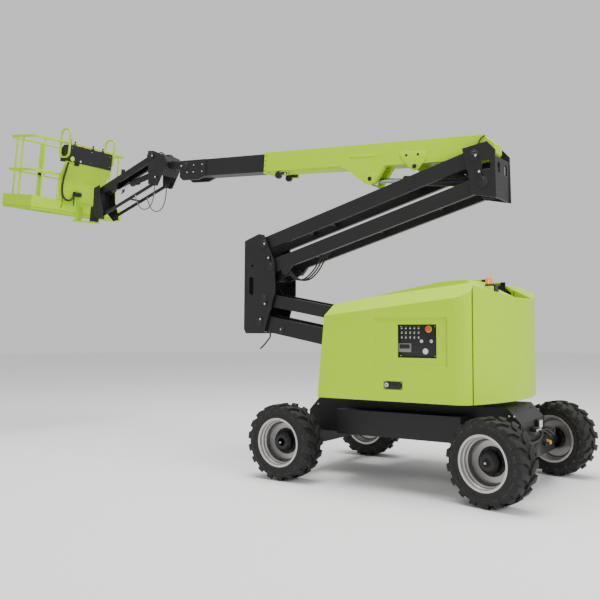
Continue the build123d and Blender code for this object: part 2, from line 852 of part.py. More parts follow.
def hood():
    # The side door: an outer skin with a chamfered shoulder, hung at its top inner edge
    shell = hood_form(0, body_bottom + 0.01, hood_inner_y)
    shell -= hood_form(hood_wall, body_bottom - 100, hood_inner_y - 100)
    out = body_half_width
    shell -= block(recess_x0, recess_x1, out - recess_depth, out + 10, recess_z0, recess_z1)
    shell -= block(window_x0, window_x1, out - 200, out + 10, window_z0, window_z1)
    shell -= block(latch_x0, latch_x1, out - recess_depth, out + 10, latch_z0, latch_z1)
    sleeve_x0 = hood_hinge_x0 + hinge_leaf + hinge_gap
    sleeve_x1 = hood_hinge_x1 - hinge_leaf - hinge_gap
    hinge_y = channel_half + channel_wall / 2
    leaf_y = hood_inner_y + hinge_leaf_reach
    leaf_z0 = hood_hinge_z - hinge_leaf_half
    leaf_z1 = hood_hinge_z + hinge_leaf_half
    leaf = block(sleeve_x0, sleeve_x1, hinge_y, leaf_y, leaf_z0, leaf_z1)
    foot_y = leaf_y - 5 * hinge_leaf_half
    leaf += block(sleeve_x0, sleeve_x1, foot_y, leaf_y, hood_ridge_mid - 10, hood_hinge_z)
    sleeve = Pos(sleeve_x0, hinge_y, hood_hinge_z) * Rot(0, 90, 0)
    along_x = (Align.CENTER, Align.CENTER, Align.MIN)
    leaf += sleeve * Cylinder(hood_hinge_radius, sleeve_x1 - sleeve_x0, align=along_x)
    leaf -= sleeve * Cylinder(hood_pin_radius + pin_clearance, sleeve_x1 - sleeve_x0, align=along_x)
    return shell + leaf


near_solid = hood()
save("hood_near", near_solid)
save("hood_far", mirror(near_solid, about=Plane.XZ))

# Ground control panel behind the near hood's window
panel_out = body_half_width - hood_wall - recess_depth
panel = block(
    window_x0 - panel_edge,
    window_x1 + panel_edge,
    panel_out - panel_depth,
    panel_out,
    window_z0 - panel_edge,
    window_z1 + panel_edge,
)
stay_x = (window_x0 + window_x1 - panel_stay) / 2
stay_z = window_z0 + panel_stay
panel += block(stay_x, stay_x + panel_stay, inner_y, panel_out - panel_depth + 1, stay_z, stay_z + panel_stay)
save("control_panel", panel)

# Counterweight: cast block with rounded rear corners and a channel for the upper knuckle
weight = block(weight_rear, body_seam_x, -body_half_width, body_half_width, body_bottom, weight_top + 200)
weight &= body_plan(0, weight_top)
for mirrored in (False, True):
    for cut in shoulder_cut(0):
        weight -= mirror(cut, about=Plane.XZ) if mirrored else cut
weight -= slab(
    [
        (body_seam_x + 50, hood_ridge_rear),
        (body_seam_x, hood_ridge_rear),
        (weight_rear, weight_top),
        (weight_rear - 50, weight_top + 300),
        (body_seam_x + 50, weight_top + 300),
    ],
    -body_half_width,
    body_half_width,
)
weight -= block(weight_rear - 1, body_seam_x + 1, -weight_notch_half, weight_notch_half, weight_notch_z, 3000)
weight += Pos(beacon_x, beacon_y, weight_notch_z) * Cylinder(
    beacon_radius + 4, beacon_seat - weight_notch_z, align=(Align.CENTER, Align.CENTER, Align.MIN)
)
save("counterweight", weight)

beacon = Pos(beacon_x, beacon_y, beacon_seat + seat_gap) * Cylinder(
    beacon_radius, beacon_height, align=(Align.CENTER, Align.CENTER, Align.MIN)
)
save("beacon", beacon)

# Risers
lower_top_end = add(turntable_top_pin, lower_riser_vector)
lower_low_end = add(turntable_low_pin, lower_riser_vector)
knuckle_top_pin = add(lower_top_end, (0.0, knuckle_rise))
knuckle_low_pin = add(knuckle_top_pin, knuckle_pin_step)
upper_top_end = add(knuckle_top_pin, upper_riser_vector)
upper_low_end = add(knuckle_low_pin, upper_riser_vector)


def twin_beams(start, end, depth, tubes):
    # Two side beams joined by cross tubes at the given distances from the start
    vector = (end[0] - start[0], end[1] - start[1])
    link = both(beam(start, end, depth, link_in, link_out, riser_pin_radius, riser_pin_radius))
    for distance in tubes:
        link += pin(along(start, vector, distance), link_tube_radius, -link_in - 1, link_in + 1)
    return link


lower_top = twin_beams(lower_top_end, turntable_top_pin, lower_top_depth, (560, 1500, 2300))
horn = slab(
    [
        (lower_top_end[0] - 60, lower_top_end[1] + 20),
        (timing_front[0] - 36, timing_front[1] + 28),
        (timing_front[0] + 36, timing_front[1] + 10),
        (lower_top_end[0] + 60, lower_top_end[1] - 20),
    ],
    link_in,
    link_out,
)
horn += pin(timing_front, 38, link_in, link_out)
horn -= pin(lower_top_end, riser_pin_radius + pin_clearance, 0, 400)
horn += pin(timing_front, timing_pin_radius, timing_out + eye_side_gap, link_out)
lower_top += both(horn)
save("lower_riser_top_link", lower_top)

lower_low = twin_beams(turntable_low_pin, lower_low_end, lower_low_depth, (300, 900))
riser_eye_pin = along(turntable_low_pin, lower_riser_vector, riser_eye_along)
lower_low += both(pin(riser_eye_pin, boom_pin_radius + 12, cylinder_eye_half + eye_side_gap, link_in + 1))
save("lower_riser_low_link", lower_low)

upper_top = twin_beams(knuckle_top_pin, upper_top_end, upper_link_depth, (560, 900))
save("upper_riser_top_link", upper_top)

upper_low = twin_beams(knuckle_low_pin, upper_low_end, upper_link_depth, (560, 1500, 2300))
gusset = slab(
    [
        (timing_rear[0] - 150, timing_rear[1] + 110),
        (timing_rear[0] + 60, timing_rear[1] + 70),
        (timing_rear[0] + 30, timing_rear[1] - 25),
        (timing_rear[0] - 30, timing_rear[1] - 25),
    ],
    link_in,
    link_out,
)
gusset += pin(timing_rear, 38, link_in, link_out)
gusset += pin(timing_rear, timing_pin_radius, timing_in, link_out)
upper_low += both(gusset)
save("upper_riser_low_link", upper_low)

timing = both(beam(timing_rear, timing_front, 90, timing_in, timing_out, timing_pin_radius, 1))
timing_mid = ((timing_rear[0] + timing_front[0]) / 2, (timing_rear[1] + timing_front[1]) / 2)
timing += pin(timing_mid, 24, -timing_in - 1, timing_in + 1)
save("timing_link", timing)

# Lower knuckle: two side plates joined by a front web, with stub pins for the four links
kx = lower_top_end[0]
kz = lower_top_end[1]
knuckle_outline = [
    (kx + 304, kz + 774),
    (kx + 67, kz + 852),
    (kx - 6, kz + 835),
    (kx - 178, kz + 453),
    (kx - 177, kz + 62),
    (kx - 6, kz - 442),
    (kx + 288, kz - 442),
    (kx + 318, kz - 384),
]
side_plate = slab(knuckle_outline, knuckle_in, knuckle_out)
slot_x = kx + knuckle_slot_x
slot_low = (slot_x, kz + knuckle_slot_low)
slot_high = (slot_x, kz + knuckle_slot_high)
slot_x0 = slot_x - knuckle_slot_radius
slot_x1 = slot_x + knuckle_slot_radius
slot = block(slot_x0, slot_x1, knuckle_in - 5, knuckle_out + 5, slot_low[1], slot_high[1])
slot += pin(slot_low, knuckle_slot_radius, knuckle_in - 5, knuckle_out + 5)
slot += pin(slot_high, knuckle_slot_radius, knuckle_in - 5, knuckle_out + 5)
side_plate -= slot
hole_at = (slot_x0 + knuckle_hole_radius, slot_high[1] + 9 * knuckle_hole_radius)
side_plate -= pin(hole_at, knuckle_hole_radius, knuckle_in - 5, knuckle_out + 5)
lower_knuckle = both(side_plate)
web_x = kx + knuckle_web_x
web_y = knuckle_in + 1
lower_knuckle += block(web_x, web_x + knuckle_web, -web_y, web_y, kz - knuckle_web_low, kz + knuckle_web_high)
foot_z = kz - knuckle_foot
lower_knuckle += block(web_x - 8 * knuckle_web, web_x + 10, -web_y, web_y, foot_z, foot_z + knuckle_web - 2)
for point in (lower_top_end, lower_low_end, knuckle_top_pin, knuckle_low_pin):
    lower_knuckle += both(pin(point, riser_pin_radius, stub_in, knuckle_out + pin_head))
save("lower_knuckle", lower_knuckle)

# Upper knuckle: side plates, a rear plate and inner lugs for the boom cylinder
ux = upper_top_end[0]
uz = upper_top_end[1]
upper_outline = [
    (ux + 130, uz + 95),
    (ux - 150, uz + 140),
    (ux - 240, uz + 40),
    (ux - 250, uz - 480),
    (ux + 20, uz - 420),
    (ux + 60, uz - 200),
]
upper_plate = slab(upper_outline, knuckle_in, knuckle_out)
window_at = (ux - 1.9 * upper_window, uz - 1.6 * upper_window)
upper_plate -= block(
    window_at[0],
    window_at[0] + upper_window,
    knuckle_in - 5,
    knuckle_out + 5,
    window_at[1],
    window_at[1] + upper_window,
)
upper_knuckle = both(upper_plate)
back_x = ux - upper_back_x
rear_plate = block(back_x, back_x + knuckle_web, -web_y, web_y, uz - upper_back_low, uz - knuckle_web)
for y in (-knuckle_in / 2, knuckle_in / 2):
    back_slot = Box(3 * knuckle_web, upper_back_slot_width, upper_back_slot_height)
    rear_plate -= Pos(back_x + knuckle_web / 2, y, uz - 1.3 * upper_window) * back_slot
upper_knuckle += rear_plate
base_lug = slab(
    [
        (ux - 216, uz - 420),
        (boom_base_pin[0] - 20, boom_base_pin[1] - 45),
        (boom_base_pin[0] + 30, boom_base_pin[1] - 30),
        (boom_base_pin[0] + 30, boom_base_pin[1] + 35),
        (boom_base_pin[0] - 30, boom_base_pin[1] + 45),
        (ux - 216, uz - 130),
    ],
    cylinder_lug_in,
    cylinder_lug_out,
)
upper_knuckle += both(base_lug)
upper_knuckle += pin(boom_base_pin, boom_pin_radius, -cylinder_lug_out, cylinder_lug_out)
for point in (upper_top_end, upper_low_end):
    upper_knuckle += both(pin(point, riser_pin_radius, stub_in, knuckle_out + pin_head))
upper_knuckle += pin(boom_pivot, boom_pin_radius, -knuckle_out, knuckle_out)
save("upper_knuckle", upper_knuckle)


def cylinder_pair(base, eye, barrel_radius, barrel_length, rod_radius, rod_start, pin_radius):
    # A hydraulic cylinder: the barrel is bored for the rod, and each has an eye for its pin
    vector = (eye[0] - base[0], eye[1] - base[1])
    mouth = along(base, vector, barrel_length)
    barrel = rod(along(base, vector, barrel_radius * 0.8), mouth, barrel_radius)
    barrel += rod(along(base, vector, barrel_length - gland_length), mouth, barrel_radius + gland_rise)
    barrel += pin(base, barrel_radius, -cylinder_eye_half, cylinder_eye_half)
    bore_end = along(base, vector, barrel_length + 1)
    barrel -= rod(along(base, vector, barrel_radius * 2), bore_end, rod_radius + pin_clearance)
    barrel -= pin(base, pin_radius + pin_clearance, -cylinder_eye_half - 1, cylinder_eye_half + 1)
    ram = rod(along(base, vector, rod_start), along(eye, vector, -rod_radius * 0.8), rod_radius)
    ram += pin(eye, rod_radius + rod_eye_wall, -cylinder_eye_half, cylinder_eye_half)
    ram -= pin(eye, pin_radius + pin_clearance, -cylinder_eye_half - 1, cylinder_eye_half + 1)
    return barrel, ram


riser_barrel, riser_ram = cylinder_pair(
    riser_base_pin,
    riser_eye_pin,
    riser_barrel_radius,
    riser_barrel_length,
    riser_rod_radius,
    riser_rod_start,
    boom_pin_radius,
)
save("riser_cylinder_barrel", riser_barrel)
save("riser_cylinder_rod", riser_ram)
boom_barrel, boom_ram = cylinder_pair(
    boom_base_pin,
    boom_lug_pin,
    boom_barrel_radius,
    boom_barrel_length,
    boom_rod_radius,
    boom_rod_start,
    boom_pin_radius,
)
save("boom_cylinder_barrel", boom_barrel)
save("boom_cylinder_rod", boom_ram)

# Main boom, drawn level from its pivot and then turned to its slope
boom_frame = Pos(boom_pivot[0], 0, boom_pivot[1]) * Rot(0, -boom_slope_deg, 0)


def to_boom(point):
    # A point in the machine's side view, in the boom's own frame
    dx = point[0] - boom_pivot[0]
    dz = point[1] - boom_pivot[1]
    c = math.cos(math.radians(boom_slope_deg))
    s = math.sin(math.radians(boom_slope_deg))
    return (dx * c + dz * s, dz * c - dx * s)


lug_pin = to_boom(boom_lug_pin)
boom = slab(
    [
        (-40, -boom_cheek_radius),
        (140, -boom_below),
        (boom_front, -boom_below),
        (boom_front, boom_above),
        (boom_rear, boom_above),
        (-boom_cheek_radius, 50),
        (-boom_cheek_radius, -40),
    ],
    -boom_half_width,
    boom_half_width,
)
boom_hollow = block(
    boom_rear + boom_collar,
    boom_front + 1,
    -boom_half_width + boom_wall,
    boom_half_width - boom_wall,
    -boom_below + boom_wall,
    boom_above - boom_wall,
)


def boom_edge(size, x0):
    # A long wedge that takes a lower edge off the boom, from x0 to its front end
    face = make_face(
        Polyline(
            (x0, boom_half_width + 1, -boom_below - 1),
            (x0, boom_half_width + 1, -boom_below + size + 1),
            (x0, boom_half_width - size - 1, -boom_below - 1),
            close=True,
        )
    )
    return both(extrude(face, amount=boom_front + 2 - x0, dir=(1, 0, 0)))


boom_lug_end = lug_pin[0] + boom_lug_front
boom -= boom_hollow - boom_edge(boom_chamfer + boom_wall * math.sqrt(2), boom_rear)
boom -= boom_edge(boom_chamfer, boom_lug_end + boom_collar)
collar = block(
    boom_front - boom_collar,
    boom_front,
    -boom_half_width - boom_collar_rise,
    boom_half_width + boom_collar_rise,
    -boom_below - boom_collar_rise,
    boom_above + boom_collar_rise,
)
boom += collar - block(0, boom_front + 1, -boom_half_width, boom_half_width, -boom_below, boom_above)
boom -= pin((0, 0), boom_pin_radius + pin_clearance, -400, 400)
lug = slab(
    [
        (lug_pin[0] - boom_lug_rear, -boom_below + 1),
        (lug_pin[0] - 60, lug_pin[1] - 55),
        (lug_pin[0] + 60, lug_pin[1] - 55),
        (boom_lug_end, -boom_below + 1),
    ],
    cylinder_lug_in,
    boom_half_width,
)
boom += both(lug)
boom += both(pin(lug_pin, boom_pin_radius + 12, cylinder_eye_half + eye_side_gap, boom_half_width))
boom += both(pin(lug_pin, boom_lug_disc, boom_half_width - 1, boom_half_width + boom_lug_disc_rise))
save("main_boom", boom_frame * boom)

fly = block(fly_rear, fly_box_front, -fly_half_width, fly_half_width, -fly_below, fly_above)
fly -= block(
    fly_rear - 1,
    fly_box_front + 1,
    -fly_half_width + fly_wall,
    fly_half_width - fly_wall,
    -fly_below + fly_wall,
    fly_above - fly_wall,
)
level_pin = to_boom(jib_level_pin)
cheek = slab(
    [
        (fly_cheek_rear, fly_above),
        (fly_cheek_rear, -fly_below),
        (fly_cheek_rear + 120, -fly_below - 45),
        (fly_cheek_front - 60, -fly_below - 45),
        (fly_cheek_front, -fly_below),
        (fly_cheek_front, fly_above),
    ],
    neck_half_width + 8,
    fly_half_width + 14,
)
fly += both(cheek)
fly += pin(level_pin, jib_pin_radius, -fly_half_width - 14, fly_half_width + 14)
fly += block(fly_rear, fly_rear + 200, -60, 60, fly_above - 1, boom_above - boom_wall - pad_gap)
fly += block(fly_rear, fly_rear + 200, -60, 60, -boom_below + boom_wall + pad_gap, -fly_below + 1)
for side in (-1, 1):
    y0 = min(side * (fly_half_width - 1), side * (boom_half_width - boom_wall - pad_gap))
    y1 = max(side * (fly_half_width - 1), side * (boom_half_width - boom_wall - pad_gap))
    fly += block(fly_rear, fly_rear + 200, y0, y1, -40, 80)
save("fly_boom", boom_frame * fly)

# Jib: knuckle, parallel arm and tie, lift cylinder, end bracket and rotator
jib_top_end = add(jib_top_pin, jib_vector)
jib_low_end = add(jib_low_pin, jib_vector)
jx = jib_low_pin[0]
jz = jib_low_pin[1]
jib_plate = slab(
    [
        (jx + 147, jz + 473),
        (jx + 36, jz + 458),
        (jx - 182, jz + 362),
        (jx - 246, jz + 262),
        (jx - 41, jz - 68),
        (jx + 143, jz - 21),
    ],
    jib_plate_in,
    jib_plate_out,
)
jib_knuckle = both(jib_plate)
jib_knuckle += slab(
    [
        (jx - 182, jz + 362),
        (jx - 246, jz + 262),
        (jx - 130, jz + 75),
        (jx - 112, jz + 86),
        (jx - 222, jz + 264),
        (jx - 165, jz + 353),
    ],
    -jib_plate_in - 1,
    jib_plate_in + 1,
)
neck = beam(
    jib_level_pin,
    (jx - 205, jz + 230),
    2 * neck_half_depth,
    -neck_half_width,
    neck_half_width,
    jib_pin_radius,
    1,
)
neck -= block(jx - 215, jx + 400, -200, 200, jz, jz + 500)
jib_knuckle += neck
jib_knuckle += pin(jib_base_pin, jib_pin_radius, -jib_plate_out - 6, jib_plate_out + jib_pin_head)
jib_knuckle += both(pin(jib_top_pin, jib_pin_radius, jib_arm_in - 5, jib_plate_out + jib_pin_head))
jib_knuckle += both(pin(jib_low_pin, jib_pin_radius, jib_tie_in - 5, jib_plate_out + jib_pin_head))
save("jib_knuckle", jib_knuckle)

jib_eye_pin = along(jib_top_pin, jib_vector, jib_eye_along, -jib_eye_below)
arm_beam = beam(
    jib_top_pin,
    jib_top_end,
    jib_arm_depth,
    jib_arm_in,
    jib_arm_out,
    jib_pin_radius,
    jib_pin_radius,
)
jib_arm = both(arm_beam)
jib_arm_top = jib_arm_depth / 2
arm_cover = slab(
    [
        along(jib_top_pin, jib_vector, jib_cover_start, jib_arm_top),
        along(jib_top_pin, jib_vector, jib_cover_end, jib_arm_top),
        along(jib_top_pin, jib_vector, jib_cover_end, jib_arm_top - jib_cover),
        along(jib_top_pin, jib_vector, jib_cover_start, jib_arm_top - jib_cover),
    ],
    -jib_arm_in - 1,
    jib_arm_in + 1,
)
jib_arm += arm_cover
eye_lug = slab(
    [
        along(jib_top_pin, jib_vector, jib_eye_along - jib_lug_rear, -jib_lug_half),
        along(jib_top_pin, jib_vector, jib_eye_along + jib_lug_front, -jib_lug_half),
        along(jib_top_pin, jib_vector, jib_eye_along + jib_lug_half, -jib_eye_below - jib_lug_drop),
        along(jib_top_pin, jib_vector, jib_eye_along - jib_lug_half, -jib_eye_below - jib_lug_drop),
    ],
    jib_arm_in,
    jib_arm_out,
)
jib_arm += both(eye_lug)
jib_arm += both(pin(jib_eye_pin, jib_pin_radius + 8, cylinder_eye_half + eye_side_gap, jib_arm_out))
save("jib_arm", jib_arm)
tie_beam = beam(
    jib_low_pin,
    jib_low_end,
    jib_tie_depth,
    jib_tie_in,
    jib_tie_out,
    jib_pin_radius,
    jib_pin_radius,
)
jib_tie = both(tie_beam)
tie_mid = ((jib_low_pin[0] + jib_low_end[0]) / 2, (jib_low_pin[1] + jib_low_end[1]) / 2)
jib_tie += pin(tie_mid, 14, -jib_tie_in - 1, jib_tie_in + 1)
# Two hoses hang under the ties in loops, each between two glands on its tie's lower edge
hose_y = (jib_tie_in + jib_tie_out) / 2
hose_path = [(4195, 3800), (4205, 3640), (4290, 3490), (4430, 3465), (4540, 3548), (4590, 3670)]


def hose_radii(points):
    # Each bend takes nearly half of its shorter run
    radii = []
    for before, corner, after in zip(points, points[1:], points[2:]):
        run_in = math.dist(before, corner)
        run_out = math.dist(corner, after)
        heading_in = math.atan2(corner[1] - before[1], corner[0] - before[0])
        heading_out = math.atan2(after[1] - corner[1], after[0] - corner[0])
        radii.append(0.45 * min(run_in, run_out) / math.tan(abs(heading_out - heading_in) / 2))
    return radii


def gland(face_point, next_point):
    # A short threaded end that the hose's end face meets
    run = (next_point[0] - face_point[0], next_point[1] - face_point[1])
    back = along(face_point, run, -hose_gland_length)
    return Pos(0, hose_y, 0) * rod(back, face_point, hose_gland_radius)


jib_tie += both(gland(hose_path[0], hose_path[1]) + gland(hose_path[-1], hose_path[-2]))
save("jib_tie", jib_tie)
bend_radii = hose_radii(hose_path)
print("hose bend radii in mm:", [round(radius, 1) for radius in bend_radii])
hose_line = FilletPolyline(*[(x, hose_y, z) for x, z in hose_path], radius=bend_radii)
hose_run = (hose_path[1][0] - hose_path[0][0], 0, hose_path[1][1] - hose_path[0][1])
hose_start = Plane(origin=(hose_path[0][0], hose_y, hose_path[0][1]), z_dir=hose_run)
hose = sweep(hose_start * Circle(hose_radius), path=hose_line)
save("hose_near", hose)
save("hose_far", mirror(hose, about=Plane.XZ))
jib_barrel, jib_ram = cylinder_pair(
    jib_base_pin,
    jib_eye_pin,
    jib_barrel_radius,
    jib_barrel_length,
    jib_rod_radius,
    jib_rod_start,
    jib_pin_radius,
)
save("jib_cylinder_barrel", jib_barrel)
save("jib_cylinder_rod", jib_ram)

ex = jib_low_end[0]
ez = jib_low_end[1]
end_plate = slab(
    [
        (ex + 40, ez + 470),
        (ex + 160, ez + 440),
        (ex + 190, ez + 60),
        (ex + 60, ez - 60),
        (ex - 50, ez - 45),
        (ex - 40, ez + 40),
        (ex + 30, ez + 240),
    ],
    jib_plate_in,
    jib_plate_out,
)
jib_end = both(end_plate)
jib_end += slab(
    [(ex + 145, ez + 440), (ex + 162, ez + 440), (ex + 192, ez + 60), (ex + 175, ez + 60)],
    -jib_plate_in - 1,
    jib_plate_in + 1,
)
jib_end += both(pin(jib_top_end, jib_pin_radius, jib_arm_in - 5, jib_plate_out + jib_pin_head))
jib_end += both(pin(jib_low_end, jib_pin_radius, jib_tie_in - 5, jib_plate_out + jib_pin_head))
platform_frame_at = Pos(platform_corner[0], 0, platform_corner[1]) * Rot(0, -platform_tilt_deg, 0)
housing = Pos(-rotator_back, 0, 0) * Cylinder(rotator_radius, rotator_height)
arm_link = block(-rotator_back - 170, -rotator_back, -55, 55, -60, 60)
rotator = platform_frame_at * housing
rotator_seat = Pos(-rotator_back, 0, 0) * Cylinder(rotator_radius + seat_gap, 1.1 * rotator_height)
jib_end += platform_frame_at * (arm_link - rotator_seat)
save("jib_end_bracket", jib_end)
save("rotator", rotator)

# Platform
half = platform_width / 2
depth = platform_depth
floor = block(0, depth, -half, half, 0, floor_thickness)
under = block(10, depth - 10, -half + 10, half - 10, -floor_frame, 0)
under -= block(50, depth - 50, -half + 50, -40, -floor_frame - 1, 1)
under -= block(50, depth - 50, 40, half - 50, -floor_frame - 1, 1)
toe = block(0, depth, -half, half, floor_thickness - 1, toe_height)
toe -= block(toe_wall, depth - toe_wall, -half + toe_wall, half - toe_wall, 0, toe_height + 1)
mount = block(-rotator_back - 60, 20, -60, 60, rotator_height / 2 + seat_gap, rotator_height / 2 + 25)
mount += block(-rotator_back - 60, 60, -60, 60, -rotator_height / 2 - 25, -rotator_height / 2 - seat_gap)
mount += block(-20, 12, -60, 60, -rotator_height / 2 - 25, rotator_height / 2 + 25)
save("platform_floor", platform_frame_at * (floor + under + toe + mount))


def rail_loop(z):
    # A closed round-tube rail with rounded corners at one height
    r = platform_corner_radius
    t = platform_tube
    plan = Rectangle(depth - 2 * t, platform_width - 2 * t)
    plan = fillet(plan.vertices(), r)
    outer = offset(plan, t)
    inner = offset(plan, -t)
    ring = extrude(outer - inner, amount=2 * t)
    return Pos(depth / 2, 0, z - t) * ring


rails = rail_loop(platform_height - platform_tube) + rail_loop(mid_rail)
post_top = platform_height - 2 * platform_tube
post_places = [
    (platform_tube, -half + 160),
    (platform_tube, half - 160),
    (depth - platform_tube, -half + 160),
    (depth - platform_tube, -half / 3),
    (depth - platform_tube, half / 3),
    (depth - platform_tube, half - 160),
    (depth / 2, -half + platform_tube),
    (depth / 2, half - platform_tube),
]
post_radius = platform_tube - 1
post_foot = toe_height + seat_gap
on_base = (Align.CENTER, Align.CENTER, Align.MIN)
for x, y in post_places:
    rails += Pos(x, y, post_foot) * Cylinder(post_radius, post_top - post_foot, align=on_base)
gate_x = depth - platform_tube
gate_opening = gate_post_y - post_radius
gate_cut_x = depth - 3 * platform_tube
rails -= block(gate_cut_x, depth + 1, -gate_opening, gate_opening, post_foot, platform_height + 1)


def hoop(y):
    # A bent-tube guard that stands over one end of the console
    plan = Rectangle(hoop_front - hoop_rear, hoop_high - hoop_low)
    plan = fillet(plan.vertices(), hoop_radius)
    outer = offset(plan, hoop_tube)
    inner = offset(plan, -hoop_tube)
    ring = extrude(outer - inner, amount=2 * hoop_tube)
    middle = ((hoop_front + hoop_rear) / 2, y + hoop_tube, (hoop_low + hoop_high) / 2)
    return Pos(*middle) * Rot(90, 0, 0) * ring


rails += hoop(hoop_y) + hoop(-hoop_y)
save("platform_rails", platform_frame_at * rails)

# Entry gate: a tube leaf that swings inwards about its far post
sleeve_radius = post_radius + gate_sleeve_wall
stile_y = gate_opening - gate_gap - gate_tube
rail_z = platform_height - platform_tube
gate = Pos(gate_x, 0, post_foot + gate_gap) * (
    Pos(0, stile_y, 0) * Cylinder(gate_tube, rail_z - post_foot, align=on_base)
    + Pos(0, -stile_y, 0) * Cylinder(gate_tube, rail_z - post_foot, align=on_base)
)
for z in (rail_z, mid_rail):
    gate += Pos(gate_x, 0, z) * Rot(90, 0, 0) * Cylinder(gate_tube, 2 * stile_y)
for z in (gate_sleeve_low, gate_sleeve_high):
    sleeve = Pos(gate_x, -gate_post_y, z) * Cylinder(sleeve_radius, gate_sleeve_length)
    strap = block(gate_x - 5, gate_x + 5, -gate_post_y, -stile_y, z - 20, z + 20)
    gate += sleeve + strap
    gate -= Pos(gate_x, -gate_post_y, z) * Cylinder(post_radius + 0.5, gate_sleeve_length + 1)
save("platform_gate", platform_frame_at * gate)

# Console: a folded support sheet that leans out at its top, and the box of controls on it
console_support = slab(
    [
        (-console_plate, post_foot),
        (0, post_foot),
        (0, console_bend),
        (console_plate - console_lean, console_height),
        (-console_lean, console_height),
        (-console_plate, console_bend),
    ],
    -console_half,
    console_half,
)
console_support -= rails
save("console_panel", platform_frame_at * console_support)
console = slab(
    [
        (console_box_rear, console_height + seat_gap),
        (console_box_front, console_height + seat_gap),
        (console_box_front, console_height + console_box_height - console_box_nose),
        (console_box_front - console_box_nose, console_height + console_box_height),
        (console_box_rear, console_height + console_box_height),
    ],
    -console_box_half,
    console_box_half,
)
console -= rails
save("console_box", platform_frame_at * console)
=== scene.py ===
import json
import math
import bmesh
import bpy
from mathutils import Matrix, Vector


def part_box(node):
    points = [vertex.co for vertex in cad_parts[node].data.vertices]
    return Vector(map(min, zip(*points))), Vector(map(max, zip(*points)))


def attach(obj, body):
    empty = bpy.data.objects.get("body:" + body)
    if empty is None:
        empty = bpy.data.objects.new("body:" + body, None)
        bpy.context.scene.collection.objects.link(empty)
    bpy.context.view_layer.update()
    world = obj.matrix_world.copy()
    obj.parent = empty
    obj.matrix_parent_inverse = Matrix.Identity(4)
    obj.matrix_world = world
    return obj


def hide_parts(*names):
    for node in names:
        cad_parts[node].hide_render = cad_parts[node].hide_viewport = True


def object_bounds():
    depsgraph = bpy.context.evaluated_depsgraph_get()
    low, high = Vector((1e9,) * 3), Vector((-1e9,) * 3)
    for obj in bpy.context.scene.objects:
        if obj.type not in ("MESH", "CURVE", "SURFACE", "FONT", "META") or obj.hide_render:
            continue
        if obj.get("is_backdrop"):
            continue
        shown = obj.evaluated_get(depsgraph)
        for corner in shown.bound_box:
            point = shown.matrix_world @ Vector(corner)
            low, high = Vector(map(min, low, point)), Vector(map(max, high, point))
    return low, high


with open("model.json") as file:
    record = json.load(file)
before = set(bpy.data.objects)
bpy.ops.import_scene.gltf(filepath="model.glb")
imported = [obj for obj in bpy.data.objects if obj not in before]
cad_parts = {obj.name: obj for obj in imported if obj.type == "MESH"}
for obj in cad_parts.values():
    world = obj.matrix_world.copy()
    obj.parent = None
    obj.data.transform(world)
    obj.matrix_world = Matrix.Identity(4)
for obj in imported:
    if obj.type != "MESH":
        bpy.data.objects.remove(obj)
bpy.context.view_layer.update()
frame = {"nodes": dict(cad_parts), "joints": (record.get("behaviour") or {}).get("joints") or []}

# Studio: the machine stands on a pale floor under broad soft lights. The camera is at
# the photograph's place, 1.7 m above the ground on the side of the ground controls.
camera_at = Vector((-6.2191, 7.913, 1.70))
camera_yaw = math.radians(-55.79)
camera_pitch = math.radians(2.2)
camera_roll = math.radians(-0.11)
sensor_mm = 36.0
focal_pixels = 743.2
image_pixels = 600.0
sky_strength = 0.78
ceiling_size = 9.0
ceiling_watts = 1900.0
rear_size = 5.0
rear_watts = 620.0
floor_radius = 45.0
floor_colour = (0.90, 0.90, 0.90, 1.0)

camera_data = bpy.data.cameras.new("studio_camera")
camera_data.sensor_width = sensor_mm
camera_data.lens = focal_pixels / image_pixels * sensor_mm
camera_data.clip_end = 200.0
camera = bpy.data.objects.new("studio_camera", camera_data)
bpy.context.collection.objects.link(camera)
look = Vector((
    math.cos(camera_yaw) * math.cos(camera_pitch),
    math.sin(camera_yaw) * math.cos(camera_pitch),
    math.sin(camera_pitch),
))
turn = look.to_track_quat("-Z", "Y").to_matrix() @ Matrix.Rotation(camera_roll, 3, "Z")
camera.matrix_world = Matrix.Translation(camera_at) @ turn.to_4x4()
bpy.context.scene.camera = camera

world = bpy.data.worlds.new("studio_sky")
world.use_nodes = True
sky = world.node_tree.nodes["Background"]
sky.inputs["Color"].default_value = (1.0, 1.0, 1.0, 1.0)
sky.inputs["Strength"].default_value = sky_strength
bpy.context.scene.world = world


def soft_light(name, place, target, size, watts):
    # A round area light aimed at a point of the machine
    data = bpy.data.lights.new(name, "AREA")
    data.shape = "DISK"
    data.size = size
    data.energy = watts
    light = bpy.data.objects.new(name, data)
    aim = (Vector(target) - Vector(place)).to_track_quat("-Z", "Y")
    light.matrix_world = Matrix.Translation(place) @ aim.to_matrix().to_4x4()
    bpy.context.collection.objects.link(light)


soft_light("ceiling_light", (-2.0, 1.0, 13.0), (-0.5, 0.0, 1.5), ceiling_size, ceiling_watts)
soft_light("rear_light", (-13.0, 4.0, 6.0), (-1.0, 0.0, 1.8), rear_size, rear_watts)

